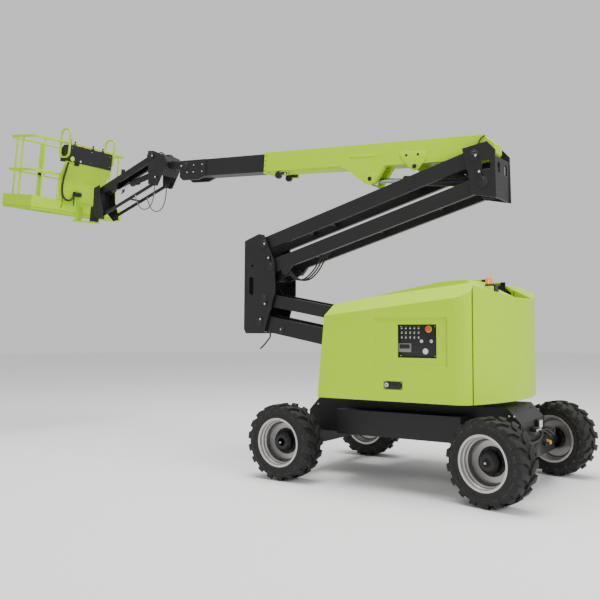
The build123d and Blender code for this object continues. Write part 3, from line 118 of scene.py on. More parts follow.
floor_mesh = bpy.data.meshes.new("studio_floor")
sheet = bmesh.new()
bmesh.ops.create_circle(sheet, cap_ends=True, radius=floor_radius, segments=64)
sheet.to_mesh(floor_mesh)
sheet.free()
floor = bpy.data.objects.new("studio_floor", floor_mesh)
bpy.context.collection.objects.link(floor)
pale = bpy.data.materials.new("pale_floor")
pale.use_nodes = True
shader = pale.node_tree.nodes["Principled BSDF"]
shader.inputs["Base Color"].default_value = floor_colour
shader.inputs["Roughness"].default_value = 0.9
floor_mesh.materials.append(pale)
floor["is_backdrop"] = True

# Jib hoses: two pressure hoses that hang in a loop under the jib's ties.
# Braided rubber in grey covers, screwed into a gland at each end of the loop.
pin_of = {joint["name"]: Vector(joint["pos_m"]) for joint in frame["joints"] if joint.get("pos_m")}
slew_x = pin_of["slew"].x
jib_hose_y = 0.1225
jib_hose_radius = 0.008
jib_hose_route = (
    (4.195, 3.800),
    (4.205, 3.640),
    (4.290, 3.490),
    (4.430, 3.465),
    (4.540, 3.548),
    (4.590, 3.670),
)


def braided(name, colour, pitch):
    # Hose cover: a fine wound weave over matt rubber
    material = bpy.data.materials.new(name)
    material.use_nodes = True
    nodes = material.node_tree.nodes
    links = material.node_tree.links
    shader = nodes["Principled BSDF"]
    shader.inputs["Roughness"].default_value = 0.55
    place = nodes.new("ShaderNodeTexCoord")
    weave = nodes.new("ShaderNodeTexWave")
    weave.bands_direction = "DIAGONAL"
    weave.inputs["Scale"].default_value = pitch
    weave.inputs["Distortion"].default_value = 0.6
    links.new(place.outputs["Object"], weave.inputs["Vector"])
    cover = nodes.new("ShaderNodeMix")
    cover.data_type = "RGBA"
    cover.inputs["A"].default_value = colour
    cover.inputs["B"].default_value = (colour[0] * 1.5, colour[1] * 1.5, colour[2] * 1.5, 1.0)
    links.new(weave.outputs["Fac"], cover.inputs["Factor"])
    links.new(cover.outputs["Result"], shader.inputs["Base Color"])
    relief = nodes.new("ShaderNodeBump")
    relief.inputs["Strength"].default_value = 0.5
    relief.inputs["Distance"].default_value = 0.001
    links.new(weave.outputs["Fac"], relief.inputs["Height"])
    links.new(relief.outputs["Normal"], shader.inputs["Normal"])
    return material


def hose(name, body, route, radius, material):
    # A round hose on one smooth line through its route
    curve = bpy.data.curves.new(name, "CURVE")
    curve.dimensions = "3D"
    curve.bevel_depth = radius
    curve.bevel_resolution = 4
    curve.resolution_u = 12
    curve.use_fill_caps = True
    line = curve.splines.new("NURBS")
    line.points.add(len(route) - 1)
    for point, place in zip(line.points, route):
        point.co = (*place, 1.0)
    line.order_u = 3
    line.use_endpoint_u = True
    curve.materials.append(material)
    made = bpy.data.objects.new(name, curve)
    bpy.context.collection.objects.link(made)
    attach(made, body)
    return made


grey_hose = braided("grey_hose_cover", (0.075, 0.075, 0.078, 1.0), 260.0)
for name, side in (("hose_near", 1), ("hose_far", -1)):
    route = [(x + slew_x, side * jib_hose_y, z) for x, z in jib_hose_route]
    loop = hose("jib_" + name, "jib_tie", route, jib_hose_radius, grey_hose)
    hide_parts(name)

# Control cable of the platform: a woven black sleeve that drops from the console down
# the outside of its support, and loops up into a plug-in socket box.
platform_corner = Vector((6.040 + slew_x, 0.0, 3.578))
platform_tilt = Matrix.Rotation(math.radians(-8.0), 3, "Y")
cable_radius = 0.016
cable_route = (
    (-0.125, 0.400, 0.735),
    (-0.112, 0.408, 0.640),
    (-0.060, 0.402, 0.500),
    (-0.032, 0.392, 0.370),
    (-0.030, 0.375, 0.255),
    (-0.031, 0.315, 0.180),
    (-0.032, 0.225, 0.172),
    (-0.034, 0.165, 0.228),
    (-0.035, 0.135, 0.285),
)


def on_platform(forward, across, up):
    # A point in the platform's own tilted frame
    return platform_corner + platform_tilt @ Vector((forward, across, up))


black_sleeve = braided("black_cable_sleeve", (0.012, 0.012, 0.013, 1.0), 180.0)
cable_points = [on_platform(*place) for place in cable_route]
console_cable = hose("console_cable", "platform", cable_points, cable_radius, black_sleeve)

# Chassis: a welded box frame between two axle beams, in black two-pack paint that has
# gathered dust on top and is rubbed a little lighter at its edges.
black_colour = (0.007, 0.007, 0.0078, 1.0)
black_faded = (0.013, 0.013, 0.0140, 1.0)
black_edge = (0.060, 0.060, 0.064, 1.0)
dust_colour = (0.10, 0.095, 0.085, 1.0)


def paint(name, colour, faded, edge, dust_and_top_light, dust_and_top_light_share, gloss, peel, rounding):
    # Sprayed paint: slow drift of colour, orange peel, worn edges, and dust on upward faces; on the lime
    # the edge and top colours are a painted highlight on the edges and painted light on the tops
    material = bpy.data.materials.new(name)
    material.use_nodes = True
    nodes = material.node_tree.nodes
    links = material.node_tree.links
    shader = nodes["Principled BSDF"]
    shader.inputs["Specular IOR Level"].default_value = 0.36
    place = nodes.new("ShaderNodeTexCoord")
    drift = nodes.new("ShaderNodeTexNoise")
    drift.inputs["Scale"].default_value = 2.3
    drift.inputs["Detail"].default_value = 6.0
    links.new(place.outputs["Object"], drift.inputs["Vector"])
    body_colour = nodes.new("ShaderNodeMix")
    body_colour.data_type = "RGBA"
    body_colour.inputs["A"].default_value = colour
    body_colour.inputs["B"].default_value = faded
    links.new(drift.outputs["Fac"], body_colour.inputs["Factor"])
    specks = nodes.new("ShaderNodeTexNoise")
    specks.inputs["Scale"].default_value = 38.0
    specks.inputs["Detail"].default_value = 8.0
    links.new(place.outputs["Object"], specks.inputs["Vector"])
    round_edge = nodes.new("ShaderNodeBevel")
    round_edge.samples = 4
    round_edge.inputs["Radius"].default_value = rounding
    facing = nodes.new("ShaderNodeNewGeometry")
    turned = nodes.new("ShaderNodeVectorMath")
    turned.operation = "DOT_PRODUCT"
    links.new(round_edge.outputs["Normal"], turned.inputs[0])
    links.new(facing.outputs["Normal"], turned.inputs[1])
    # Edge colour: worn paint on most paints, a painted edge highlight on the lime
    at_edge = nodes.new("ShaderNodeMapRange")
    at_edge.inputs["From Min"].default_value = 0.995
    at_edge.inputs["From Max"].default_value = 0.90
    links.new(turned.outputs["Value"], at_edge.inputs["Value"])
    edge_wear_and_highlight = nodes.new("ShaderNodeMath")
    edge_wear_and_highlight.operation = "MULTIPLY"
    links.new(at_edge.outputs["Result"], edge_wear_and_highlight.inputs[0])
    links.new(specks.outputs["Fac"], edge_wear_and_highlight.inputs[1])
    worn_and_highlit = nodes.new("ShaderNodeMix")
    worn_and_highlit.data_type = "RGBA"
    worn_and_highlit.inputs["B"].default_value = edge
    links.new(body_colour.outputs["Result"], worn_and_highlit.inputs["A"])
    links.new(edge_wear_and_highlight.outputs["Value"], worn_and_highlit.inputs["Factor"])
    # Top colour on upward faces: real dust on most paints, painted light on the lime's tops
    upward = nodes.new("ShaderNodeSeparateXYZ")
    links.new(facing.outputs["Normal"], upward.inputs["Vector"])
    upward_dust_and_light = nodes.new("ShaderNodeMapRange")
    upward_dust_and_light.inputs["From Min"].default_value = 0.3
    upward_dust_and_light.inputs["From Max"].default_value = 1.0
    upward_dust_and_light.inputs["To Max"].default_value = dust_and_top_light_share
    links.new(upward.outputs["Z"], upward_dust_and_light.inputs["Value"])
    amount = nodes.new("ShaderNodeMath")
    amount.operation = "MULTIPLY"
    links.new(upward_dust_and_light.outputs["Result"], amount.inputs[0])
    links.new(specks.outputs["Fac"], amount.inputs[1])
    dusty_and_lit = nodes.new("ShaderNodeMix")
    dusty_and_lit.data_type = "RGBA"
    dusty_and_lit.inputs["B"].default_value = dust_and_top_light
    links.new(worn_and_highlit.outputs["Result"], dusty_and_lit.inputs["A"])
    links.new(amount.outputs["Value"], dusty_and_lit.inputs["Factor"])
    links.new(dusty_and_lit.outputs["Result"], shader.inputs["Base Color"])
    sheen = nodes.new("ShaderNodeMapRange")
    sheen.inputs["To Min"].default_value = gloss - 0.06
    sheen.inputs["To Max"].default_value = gloss + 0.14
    links.new(specks.outputs["Fac"], sheen.inputs["Value"])
    links.new(sheen.outputs["Result"], shader.inputs["Roughness"])
    grain = nodes.new("ShaderNodeTexNoise")
    grain.inputs["Scale"].default_value = 240.0
    grain.inputs["Detail"].default_value = 3.0
    links.new(place.outputs["Object"], grain.inputs["Vector"])
    relief = nodes.new("ShaderNodeBump")
    relief.inputs["Strength"].default_value = peel
    relief.inputs["Distance"].default_value = 0.001
    links.new(grain.outputs["Fac"], relief.inputs["Height"])
    links.new(round_edge.outputs["Normal"], relief.inputs["Normal"])
    links.new(relief.outputs["Normal"], shader.inputs["Normal"])
    return material


def coat(node, material):
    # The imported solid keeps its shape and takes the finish
    mesh = frame["nodes"][node].data
    mesh.materials.clear()
    mesh.materials.append(material)


black_paint = paint(
    "black_paint",
    black_colour,
    black_faded,
    black_edge,
    dust_colour,
    dust_and_top_light_share=0.25,
    gloss=0.42,
    peel=0.12,
    rounding=0.006,
)
zinc = paint(
    "zinc_plate",
    (0.62, 0.62, 0.60, 1.0),
    (0.50, 0.49, 0.46, 1.0),
    (0.72, 0.72, 0.70, 1.0),
    dust_colour,
    dust_and_top_light_share=0.15,
    gloss=0.30,
    peel=0.05,
    rounding=0.001,
)
for name in (
    "chassis_frame",
    "slew_ring",
    "drive_axle",
    "steer_axle",
    "steer_knuckle_near",
    "steer_knuckle_far",
):
    coat(name, black_paint)


def lathe(sheet, centre, axis, profile, sides, finish=0, ring=False):
    # A turned form: each profile pair is a distance along the axis and a radius
    axis = Vector(axis).normalized()
    side = axis.orthogonal().normalized()
    up = axis.cross(side)
    rings = []
    for along, radius in profile:
        middle = Vector(centre) + axis * along
        circle = []
        for i in range(sides):
            angle = math.tau * i / sides
            spoke = side * math.cos(angle) + up * math.sin(angle)
            circle.append(sheet.verts.new(middle + spoke * radius))
        rings.append(circle)
    pairs = list(zip(rings, rings[1:]))
    if ring:
        pairs.append((rings[-1], rings[0]))
    for low, high in pairs:
        for i in range(sides):
            j = (i + 1) % sides
            sheet.faces.new((low[i], low[j], high[j], high[i])).material_index = finish
    if not ring:
        sheet.faces.new(list(reversed(rings[0]))).material_index = finish
        sheet.faces.new(rings[-1]).material_index = finish


def soften(sheet, faces, edge, finish):
    # Rounds the edges of the faces just made
    for face in faces:
        face.material_index = finish
    edges = {e for face in faces for e in face.edges}
    bmesh.ops.bevel(sheet, geom=list(edges), offset=edge, segments=2, affect="EDGES", profile=0.5)


def bar(sheet, middle, size, edge=0.003, turn=None, finish=0):
    # A rectangular block with rounded edges
    cube = bmesh.ops.create_cube(sheet, size=1.0)
    turned = (turn or Matrix.Identity(3)).to_4x4()
    place = Matrix.Translation(middle) @ turned @ Matrix.Diagonal((*size, 1.0))
    bmesh.ops.transform(sheet, matrix=place, verts=cube["verts"])
    soften(sheet, list({f for v in cube["verts"] for f in v.link_faces}), edge, finish)


def plate(sheet, outline, low_y, high_y, edge=0.003, finish=0):
    # A plate cut to a side-view outline of (x, z) points
    front = [sheet.verts.new((x, high_y, z)) for x, z in outline]
    back = [sheet.verts.new((x, low_y, z)) for x, z in outline]
    faces = [sheet.faces.new(front), sheet.faces.new(list(reversed(back)))]
    count = len(outline)
    for i in range(count):
        j = (i + 1) % count
        faces.append(sheet.faces.new((front[j], front[i], back[i], back[j])))
    bmesh.ops.recalc_face_normals(sheet, faces=faces)
    soften(sheet, faces, edge, finish)


def bolt(sheet, place, axis, size, finish=0):
    # A hexagon bolt head on its washer
    lathe(sheet, place, axis, ((-0.1 * size, 1.05 * size), (0.14 * size, 1.05 * size)), 20, finish)
    head = ((0.12 * size, 0.80 * size), (0.62 * size, 0.80 * size), (0.74 * size, 0.66 * size))
    lathe(sheet, place, axis, head, 6, finish)


def piece(name, sheet, body, *materials):
    # Makes the object, keeps its corners sharp, and lets it ride on its body
    mesh = bpy.data.meshes.new(name)
    sheet.normal_update()
    sheet.to_mesh(mesh)
    sheet.free()
    mesh.shade_smooth()
    mesh.set_sharp_from_angle(angle=math.radians(32.0))
    for material in materials:
        mesh.materials.append(material)
    made = bpy.data.objects.new(name, mesh)
    bpy.context.collection.objects.link(made)
    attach(made, body)
    return made


# Chassis fittings: black bolts on the noses and side tanks, plated ones beside the noses,
# and a pressed round cover held by plated bolts on the middle of each axle beam.
wheelbase_half = abs(pin_of["wheel_front_near"].x - slew_x)
axle_z = pin_of["wheel_front_near"].z
nose_end = 1.282
nose_middle = (1.186, 0.834)
cover = ((-0.01, 0.083), (0.010, 0.083), (0.024, 0.070), (0.032, 0.040), (0.034, 0.020))
cover_bolts = 10
cover_circle = 0.074
sheet = bmesh.new()
for end in (-1, 1):
    slope = Vector((end * 0.15, 0.0, 0.14))
    for y in (-0.24, 0.24):
        bolt(sheet, (slew_x + end * nose_middle[0], y, nose_middle[1]), slope, 0.009)
    for y in (-0.36, 0.36):
        for z in (0.545, 0.690):
            bolt(sheet, (slew_x + end * nose_end, y, z), (end, 0, 0), 0.010)
    axle_face = slew_x + end * (wheelbase_half + 0.095)
    lathe(sheet, (axle_face, 0.0, axle_z), (end, 0, 0), cover, 40)
    for i in range(cover_bolts):
        angle = math.tau * i / cover_bolts
        across = cover_circle * math.cos(angle)
        spot = (axle_face + end * 0.010, across, axle_z + cover_circle * math.sin(angle))
        bolt(sheet, spot, (end, 0, 0), 0.006, 1)
    for side in (-1, 1):
        for x in (1.160, 1.215):
            bolt(sheet, (slew_x + end * x, side * 0.400, 0.800), (0, side, 0), 0.010, 1)
piece("chassis_bolts", sheet, "chassis", black_paint, zinc)

sheet = bmesh.new()
for side in (-1, 1):
    for x in (-0.62, -0.30, 0.0, 0.30, 0.62):
        bolt(sheet, (slew_x + x, side * 0.660, 0.770), (0, side, 0), 0.007)
piece("chassis_side_bolts", sheet, "chassis", black_paint)

# Rear fittings: a blank white plate on a black box, a yellow grease cap and a black plug on
# the steered axle beam, and the valve block with four plated ports. All bolted-on steel.
blank_white = paint(
    "blank_plate",
    (0.72, 0.73, 0.74, 1.0),
    (0.62, 0.63, 0.64, 1.0),
    (0.55, 0.55, 0.55, 1.0),
    dust_colour,
    dust_and_top_light_share=0.1,
    gloss=0.30,
    peel=0.03,
    rounding=0.001,
)
warning_yellow = paint(
    "yellow_cap",
    (0.62, 0.36, 0.02, 1.0),
    (0.55, 0.33, 0.04, 1.0),
    (0.65, 0.45, 0.10, 1.0),
    dust_colour,
    dust_and_top_light_share=0.2,
    gloss=0.40,
    peel=0.08,
    rounding=0.001,
)
sheet = bmesh.new()
plate_at = Vector((slew_x - nose_end - 0.018, -0.155, 0.675))
bar(sheet, plate_at, (0.036, 0.150, 0.105), 0.006)
bar(sheet, plate_at + Vector((-0.0195, 0, 0)), (0.003, 0.110, 0.080), 0.001, finish=1)
cap_at = Vector((slew_x - wheelbase_half - 0.095, -0.36, 0.458))
grease_cap = ((-0.01, 0.034), (0.012, 0.034), (0.014, 0.026), (0.045, 0.024), (0.052, 0.016))
lathe(sheet, cap_at, (-1, 0, 0), grease_cap, 24, 2)
axle_plug = ((-0.01, 0.03), (0.03, 0.03), (0.034, 0.02), (0.06, 0.012))
lathe(sheet, cap_at + Vector((0, 0.10, 0)), (-1, 0, 0), axle_plug, 24)
valve_at = Vector((slew_x - nose_end - 0.030, 0.03, 0.62))
bar(sheet, valve_at, (0.060, 0.130, 0.080), 0.005)
valve_port = ((-0.004, 0.013), (0.022, 0.013), (0.026, 0.009))
for y in (-0.045, -0.015, 0.015, 0.045):
    lathe(sheet, valve_at + Vector((-0.03, y, 0.01)), (-1, 0, 0), valve_port, 6, 3)
piece("rear_valve_block", sheet, "chassis", black_paint, blank_white, warning_yellow, zinc)

# Axle hoses: from the valve block at the rear of the chassis out towards both steered hubs.
# Black rubber in a woven cover, hanging in shallow loops outside the axle beam.
black_hose = braided("black_hose_cover", (0.014, 0.014, 0.015, 1.0), 220.0)
axle_hose_radius = 0.009
for side, name in ((1, "near"), (-1, "far")):
    for lane, lift in ((0.0, 0.0), (0.026, 0.020)):
        route = (
            (slew_x - nose_end - 0.080, side * (0.02 + lane) + 0.03, 0.63),
            (slew_x - nose_end - 0.125, side * (0.05 + lane) + 0.03, 0.625 + lift),
            (slew_x - nose_end - 0.130 - lane, side * (0.17 + lane), 0.560 + lift),
            (slew_x - nose_end - 0.090 - lane, side * (0.34 + lane), 0.520 + lift),
            (slew_x - nose_end - 0.060 - lane, side * (0.48 + lane), 0.560 + lift),
            (slew_x - nose_end - 0.030, side * (0.60 + lane), 0.585 + lift),
            (slew_x - nose_end + 0.050, side * (0.66 + lane), 0.555),
            (slew_x - nose_end + 0.060, side * (0.68 + lane), 0.530),
        )
        label = "axle_hose_" + name + ("_inner" if lane == 0 else "_outer")
        hose(label, "chassis", route, axle_hose_radius, black_hose)

# Tyres: foam-filled construction tyres with two rows of deep slanted bar lugs.
# Carbon-black rubber, matt, dusty on top and scrubbed lighter along the lugs' edges.
rubber = paint(
    "tyre_rubber",
    (0.008, 0.008, 0.008, 1.0),
    (0.014, 0.0135, 0.013, 1.0),
    (0.060, 0.057, 0.054, 1.0),
    dust_colour,
    dust_and_top_light_share=0.20,
    gloss=0.66,
    peel=0.5,
    rounding=0.004,
)
tyre_half = 0.1575
lug_count = 18
lug_pitch = 360.0 / lug_count
lug_lean = 10.0
lug_start = -187.0
groove_radius = 0.401
side_profile = (
    (0.1317, 0.2636),
    (0.1317, 0.2925),
    (0.1504, 0.2925),
    (0.1504, 0.2745),
    (0.1528, 0.2728),
    (0.1552, 0.2765),
    (0.1558, 0.2900),
    (0.1530, 0.3050),
    (0.1500, 0.3110),
    (0.1535, 0.3180),
    (0.1510, 0.3215),
    (0.1545, 0.3250),
    (0.1560, 0.3400),
    (0.1545, 0.3560),
    (0.1490, 0.3740),
    (0.1380, 0.3910),
    (0.1100, 0.3990),
    (0.0600, groove_radius),
)
# Each lug station: place across the tread, foot, top, lean and half width in degrees
lug_stations = (
    (0.014, 0.392, 0.4255, 0.0, 3.6),
    (0.070, 0.392, 0.4265, 7.0, 4.4),
    (0.1435, 0.375, 0.4205, lug_lean, 5.0),
    (tyre_half, 0.330, 0.3420, lug_lean, 5.4),
)


def join_loops(sheet, here, there):
    # Four-sided faces between two loops of the same number of points
    faces = []
    for k in range(len(here)):
        n = (k + 1) % len(here)
        faces.append(sheet.faces.new((here[k], there[k], there[n], here[n])))
    return faces


wheels = {}
for name in ("front_near", "front_far", "rear_near", "rear_far"):
    joint = next(j for j in frame["joints"] if j["name"] == "wheel_" + name)
    outward = Vector(joint["axis"])
    if outward.y * (1 if "near" in name else -1) < 0:
        outward = -outward
    low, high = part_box("tyre_" + name)
    wheels[name] = ((Vector(low) + Vector(high)) / 2, outward)
for name, (centre, outward) in wheels.items():
    up = Vector((0.0, 0.0, 1.0))
    along = outward.cross(up)
    sheet = bmesh.new()
    section = list(side_profile) + [(-y, r) for y, r in reversed(side_profile)]
    lathe(sheet, centre, outward, section, 108, ring=True)
    for i in range(2 * lug_count):
        side = 1 if i % 2 == 0 else -1
        turned = lug_pitch * i / 2 + lug_start
        rows = []
        for y, foot, top, lean, wide in lug_stations:
            row = []
            fore = lean - wide
            aft = lean + wide
            for radius, angle in ((foot, fore), (top, fore), (top, aft), (foot, aft)):
                a = math.radians(angle + turned)
                spoke = along * math.sin(a) + up * math.cos(a)
                row.append(sheet.verts.new(centre + outward * (y * side) + spoke * radius))
            rows.append(row)
        faces = [sheet.faces.new(rows[0]), sheet.faces.new(list(reversed(rows[-1])))]
        for here, there in zip(rows, rows[1:]):
            faces += join_loops(sheet, here, there)
        bmesh.ops.recalc_face_normals(sheet, faces=faces)
        soften(sheet, faces, 0.0025, 0)
    made = piece("tyre_" + name + "_lugged", sheet, "wheel_" + name, rubber)
    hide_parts("tyre_" + name)

# Rims and hubs: pressed steel sprayed silver, with a disc browned by rust and brake dust,
# and a black planetary hub bolted through it.
# Each band of the disc: distance from the axle and brightness; the first two ease the brown dust out, and
# the dark and bright rings beyond are painted shade and painted highlight
rim_dust_and_light_bands = (
    (0.150, 0.72),
    (0.195, 0.88),
    (0.214, 0.34),
    (0.224, 0.30),
    (0.228, 0.95),
    (0.240, 0.50),
    (0.246, 1.0),
)
hub = (
    (-0.0262, 0.145),
    (-0.0150, 0.145),
    (-0.0130, 0.1125),
    (0.0440, 0.1125),
    (0.0500, 0.1085),
    (0.0745, 0.0800),
    (0.0780, 0.0760),
    (0.0780, 0.0480),
    (0.0740, 0.0450),
    (0.0740, 0.0100),
)
stud = ((0.0, 0.0055), (0.014, 0.0055))
wheel_bolts = 10
wheel_circle = 0.1285
hub_bolts = 6
hub_circle = 0.062
for name, (centre, outward) in wheels.items():
    silver = paint(
        "rim_silver_" + name,
        (0.46, 0.46, 0.47, 1.0),
        (0.58, 0.58, 0.59, 1.0),
        (0.74, 0.74, 0.74, 1.0),
        dust_colour,
        dust_and_top_light_share=0.1,
        gloss=0.34,
        peel=0.06,
        rounding=0.003,
    )
    nodes = silver.node_tree.nodes
    links = silver.node_tree.links
    shader = nodes["Principled BSDF"]
    under = shader.inputs["Base Color"].links[0].from_socket
    place = nodes.new("ShaderNodeTexCoord")
    reach = nodes.new("ShaderNodeVectorMath")
    reach.operation = "SUBTRACT"
    reach.inputs[1].default_value = centre
    links.new(place.outputs["Object"], reach.inputs[0])
    cross = nodes.new("ShaderNodeVectorMath")
    cross.operation = "CROSS_PRODUCT"
    cross.inputs[1].default_value = outward
    links.new(reach.outputs["Vector"], cross.inputs[0])
    radius = nodes.new("ShaderNodeVectorMath")
    radius.operation = "LENGTH"
    links.new(cross.outputs["Vector"], radius.inputs[0])
    # Brightness by distance from the axle: black centre, brown dust on the disc, then rings of painted
    # shade and painted highlight
    rim_dust_and_light_ramp = nodes.new("ShaderNodeValToRGB")
    ramp = rim_dust_and_light_ramp.color_ramp
    ramp.elements[0].position = 0.112
    ramp.elements[0].color = (0.02, 0.02, 0.02, 1.0)
    ramp.elements[1].position = 0.116
    ramp.elements[1].color = (0.42, 0.37, 0.33, 1.0)
    for spot, level in rim_dust_and_light_bands:
        ramp.elements.new(spot).color = (level, level * 0.96, level * 0.93, 1.0)
    links.new(radius.outputs["Value"], rim_dust_and_light_ramp.inputs["Fac"])
    dusted_and_lit = nodes.new("ShaderNodeMix")
    dusted_and_lit.data_type = "RGBA"
    dusted_and_lit.blend_type = "MULTIPLY"
    dusted_and_lit.inputs["Factor"].default_value = 1.0
    links.new(under, dusted_and_lit.inputs["A"])
    links.new(rim_dust_and_light_ramp.outputs["Color"], dusted_and_lit.inputs["B"])
    links.new(dusted_and_lit.outputs["Result"], shader.inputs["Base Color"])
    shader.inputs["Metallic"].default_value = 0.60
    coat("rim_" + name, silver)
    sheet = bmesh.new()
    lathe(sheet, centre, outward, hub, 64)
    side = outward.orthogonal().normalized()
    other = outward.cross(side)
    for i in range(wheel_bolts):
        angle = math.tau * i / wheel_bolts
        spoke = side * math.cos(angle) + other * math.sin(angle)
        bolt(sheet, centre + outward * -0.0150 + spoke * wheel_circle, outward, 0.0105, 1)
        lathe(sheet, centre + outward * -0.008 + spoke * wheel_circle, outward, stud, 10, 1)
    for i in range(hub_bolts):
        angle = math.tau * i / hub_bolts
        spoke = side * math.cos(angle) + other * math.sin(angle)
        bolt(sheet, centre + outward * 0.0780 + spoke * hub_circle, outward, 0.0065, 1)
    plug = centre + side * 0.020 - Vector((0.0, 0.0, 0.022))
    lathe(sheet, plug, outward, ((0.072, 0.012), (0.084, 0.012), (0.086, 0.009)), 6, 2)
    stem = centre + Vector((0.0, 0.0, 0.240)) + outward * 0.092
    lathe(sheet, stem, outward, ((0.0, 0.005), (0.028, 0.005), (0.030, 0.0035)), 12, 1)
    piece("hub_cover_" + name, sheet, "wheel_" + name, black_paint, black_paint, zinc)

# Steering rod and kingpins: a ground rod between both hubs, and greased pin caps.
# Chromed steel, wiped clean by its seals, like the rods of the three lift cylinders.
chrome = paint(
    "chromed_rod",
    (0.62, 0.63, 0.65, 1.0),
    (0.52, 0.53, 0.55, 1.0),
    (0.75, 0.75, 0.76, 1.0),
    dust_colour,
    dust_and_top_light_share=0.05,
    gloss=0.16,
    peel=0.02,
    rounding=0.001,
)
chrome.node_tree.nodes["Principled BSDF"].inputs["Metallic"].default_value = 1.0
for name in ("steering_rod", "riser_cylinder_rod", "boom_cylinder_rod", "jib_cylinder_rod"):
    coat(name, chrome)
kingpin_y = 0.80
for side, name in ((1, "near"), (-1, "far")):
    sheet = bmesh.new()
    pin = Vector((slew_x - wheelbase_half, side * kingpin_y, axle_z))
    for way in (-1, 1):
        lathe(sheet, pin, (0, 0, way), ((0.104, 0.046), (0.112, 0.046), (0.118, 0.038), (0.122, 0.016)), 28)
        for i in range(4):
            angle = math.tau * (i + 0.5) / 4
            spot = pin + Vector((0.034 * math.cos(angle), 0.034 * math.sin(angle), way * 0.113))
            bolt(sheet, spot, (0, 0, way), 0.005, 1)
    piece("kingpin_caps_" + name, sheet, "steer_knuckle_" + name, black_paint, zinc)

# Turntable: a welded deck and tower on the slewing ring, in black, carrying the lime
# counterweight casting at its tail.
lime_colour = (0.410, 0.680, 0.002, 1.0)
lime_faded = (0.440, 0.710, 0.004, 1.0)
# Lighter lime along the edges: a painted highlight, not worn paint
lime_edge_highlight = (0.600, 0.780, 0.090, 1.0)
# Lighter lime on upward faces: painted light on the tops, not dust
lime_top_light = (0.500, 0.700, 0.040, 1.0)
lime = paint(
    "lime_enamel",
    lime_colour,
    lime_faded,
    lime_edge_highlight,
    lime_top_light,
    dust_and_top_light_share=0.30,
    gloss=0.36,
    peel=0.05,
    rounding=0.008,
)
lime.node_tree.nodes["Principled BSDF"].inputs["Specular IOR Level"].default_value = 0.12
grey_plastic = paint(
    "grey_plastic",
    (0.16, 0.16, 0.165, 1.0),
    (0.20, 0.20, 0.205, 1.0),
    (0.30, 0.30, 0.30, 1.0),
    dust_colour,
    dust_and_top_light_share=0.1,
    gloss=0.5,
    peel=0.2,
    rounding=0.002,
)
coat("turntable_frame", black_paint)
for name in ("hood_near", "hood_far", "counterweight"):
    coat(name, lime)
for name in ("engine_block", "fluid_tank", "control_panel"):
    coat(name, black_paint)


def keeper(sheet, pin, offset, face, side):
    # Boss around a pin, and the flag plate with one bright bolt that keeps the pin from turning
    spot = Vector((pin[0] + slew_x, side * face, pin[1]))
    out = Vector((0.0, side, 0.0))
    lathe(sheet, spot, out, ((-0.002, 0.064), (0.005, 0.064), (0.007, 0.061)), 40)
    lathe(sheet, spot, out, ((0.0, 0.046), (0.013, 0.046), (0.016, 0.042)), 36)
    way = Vector((offset[0], 0.0, offset[1]))
    tilt = Matrix.Rotation(math.atan2(-offset[1], offset[0]), 3, "Y")
    bar(sheet, spot + way * 0.5 + out * 0.015, (way.length + 0.046, 0.008, 0.034), 0.003, tilt)
    bolt(sheet, spot + way + out * 0.019, out, 0.012, 1)


sheet = bmesh.new()
tower_face = 0.250
for side in (-1, 1):
    keeper(sheet, (-0.750, 1.550), (0.03, 0.085), tower_face, side)
    keeper(sheet, (-0.680, 1.250), (0.03, 0.085), tower_face, side)
    for x in (-0.55, -0.25, 0.05, 0.35, 0.60):
        bolt(sheet, (x + slew_x, side * 0.93, 0.945), (0, 0, -1), 0.012, 1)
piece("tower_pin_keepers", sheet, "turntable", black_paint, zinc)

# Slewing gear: cut steel teeth round the ring under the deck. They stay with the chassis
# when the turntable turns, and carry its black paint.
gear_teeth = 72
gear_radius = 0.474
sheet = bmesh.new()
for i in range(gear_teeth):
    angle = math.tau * i / gear_teeth
    spoke = Vector((math.cos(angle), math.sin(angle), 0.0))
    tooth = Vector((slew_x, 0.0, 0.8995)) + spoke * gear_radius
    bar(sheet, tooth, (0.016, 0.019, 0.033), 0.002, Matrix.Rotation(angle, 3, "Z"))
piece("slew_gear_teeth", sheet, "chassis", black_paint)

# Beacon: a ribbed amber lens on a black base, and a small black box beside it.
# Moulded acrylic, screwed to the rear edge of the counterweight.
amber = bpy.data.materials.new("amber_lens")
amber.use_nodes = True
nodes = amber.node_tree.nodes
links = amber.node_tree.links
shader = nodes["Principled BSDF"]
place = nodes.new("ShaderNodeTexCoord")
# Bands of darker and lighter orange up the lens: painted light on its flutes; the lens itself does not
# shine
flute_light_bands = nodes.new("ShaderNodeTexWave")
flute_light_bands.bands_direction = "Z"
flute_light_bands.inputs["Scale"].default_value = 60.0
links.new(place.outputs["Object"], flute_light_bands.inputs["Vector"])
painted_lens_light = nodes.new("ShaderNodeMix")
painted_lens_light.data_type = "RGBA"
painted_lens_light.inputs["A"].default_value = (0.85, 0.20, 0.005, 1.0)
painted_lens_light.inputs["B"].default_value = (0.95, 0.36, 0.03, 1.0)
links.new(flute_light_bands.outputs["Fac"], painted_lens_light.inputs["Factor"])
links.new(painted_lens_light.outputs["Result"], shader.inputs["Base Color"])
shader.inputs["Roughness"].default_value = 0.12
shader.inputs["Coat Weight"].default_value = 0.6
shader.inputs["Subsurface Weight"].default_value = 0.25
shader.inputs["Subsurface Radius"].default_value = (0.02, 0.008, 0.002)
lamp_low, lamp_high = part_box("beacon")
lamp = Vector(((lamp_low[0] + lamp_high[0]) / 2, (lamp_low[1] + lamp_high[1]) / 2, lamp_low[2]))
lamp_radius = (lamp_high[0] - lamp_low[0]) / 2 - 0.0005
lamp_height = lamp_high[2] - lamp_low[2] - 0.0005
sheet = bmesh.new()
lathe(sheet, lamp, (0, 0, 1), ((0.0, lamp_radius), (0.018, lamp_radius), (0.021, lamp_radius - 0.002)), 40)
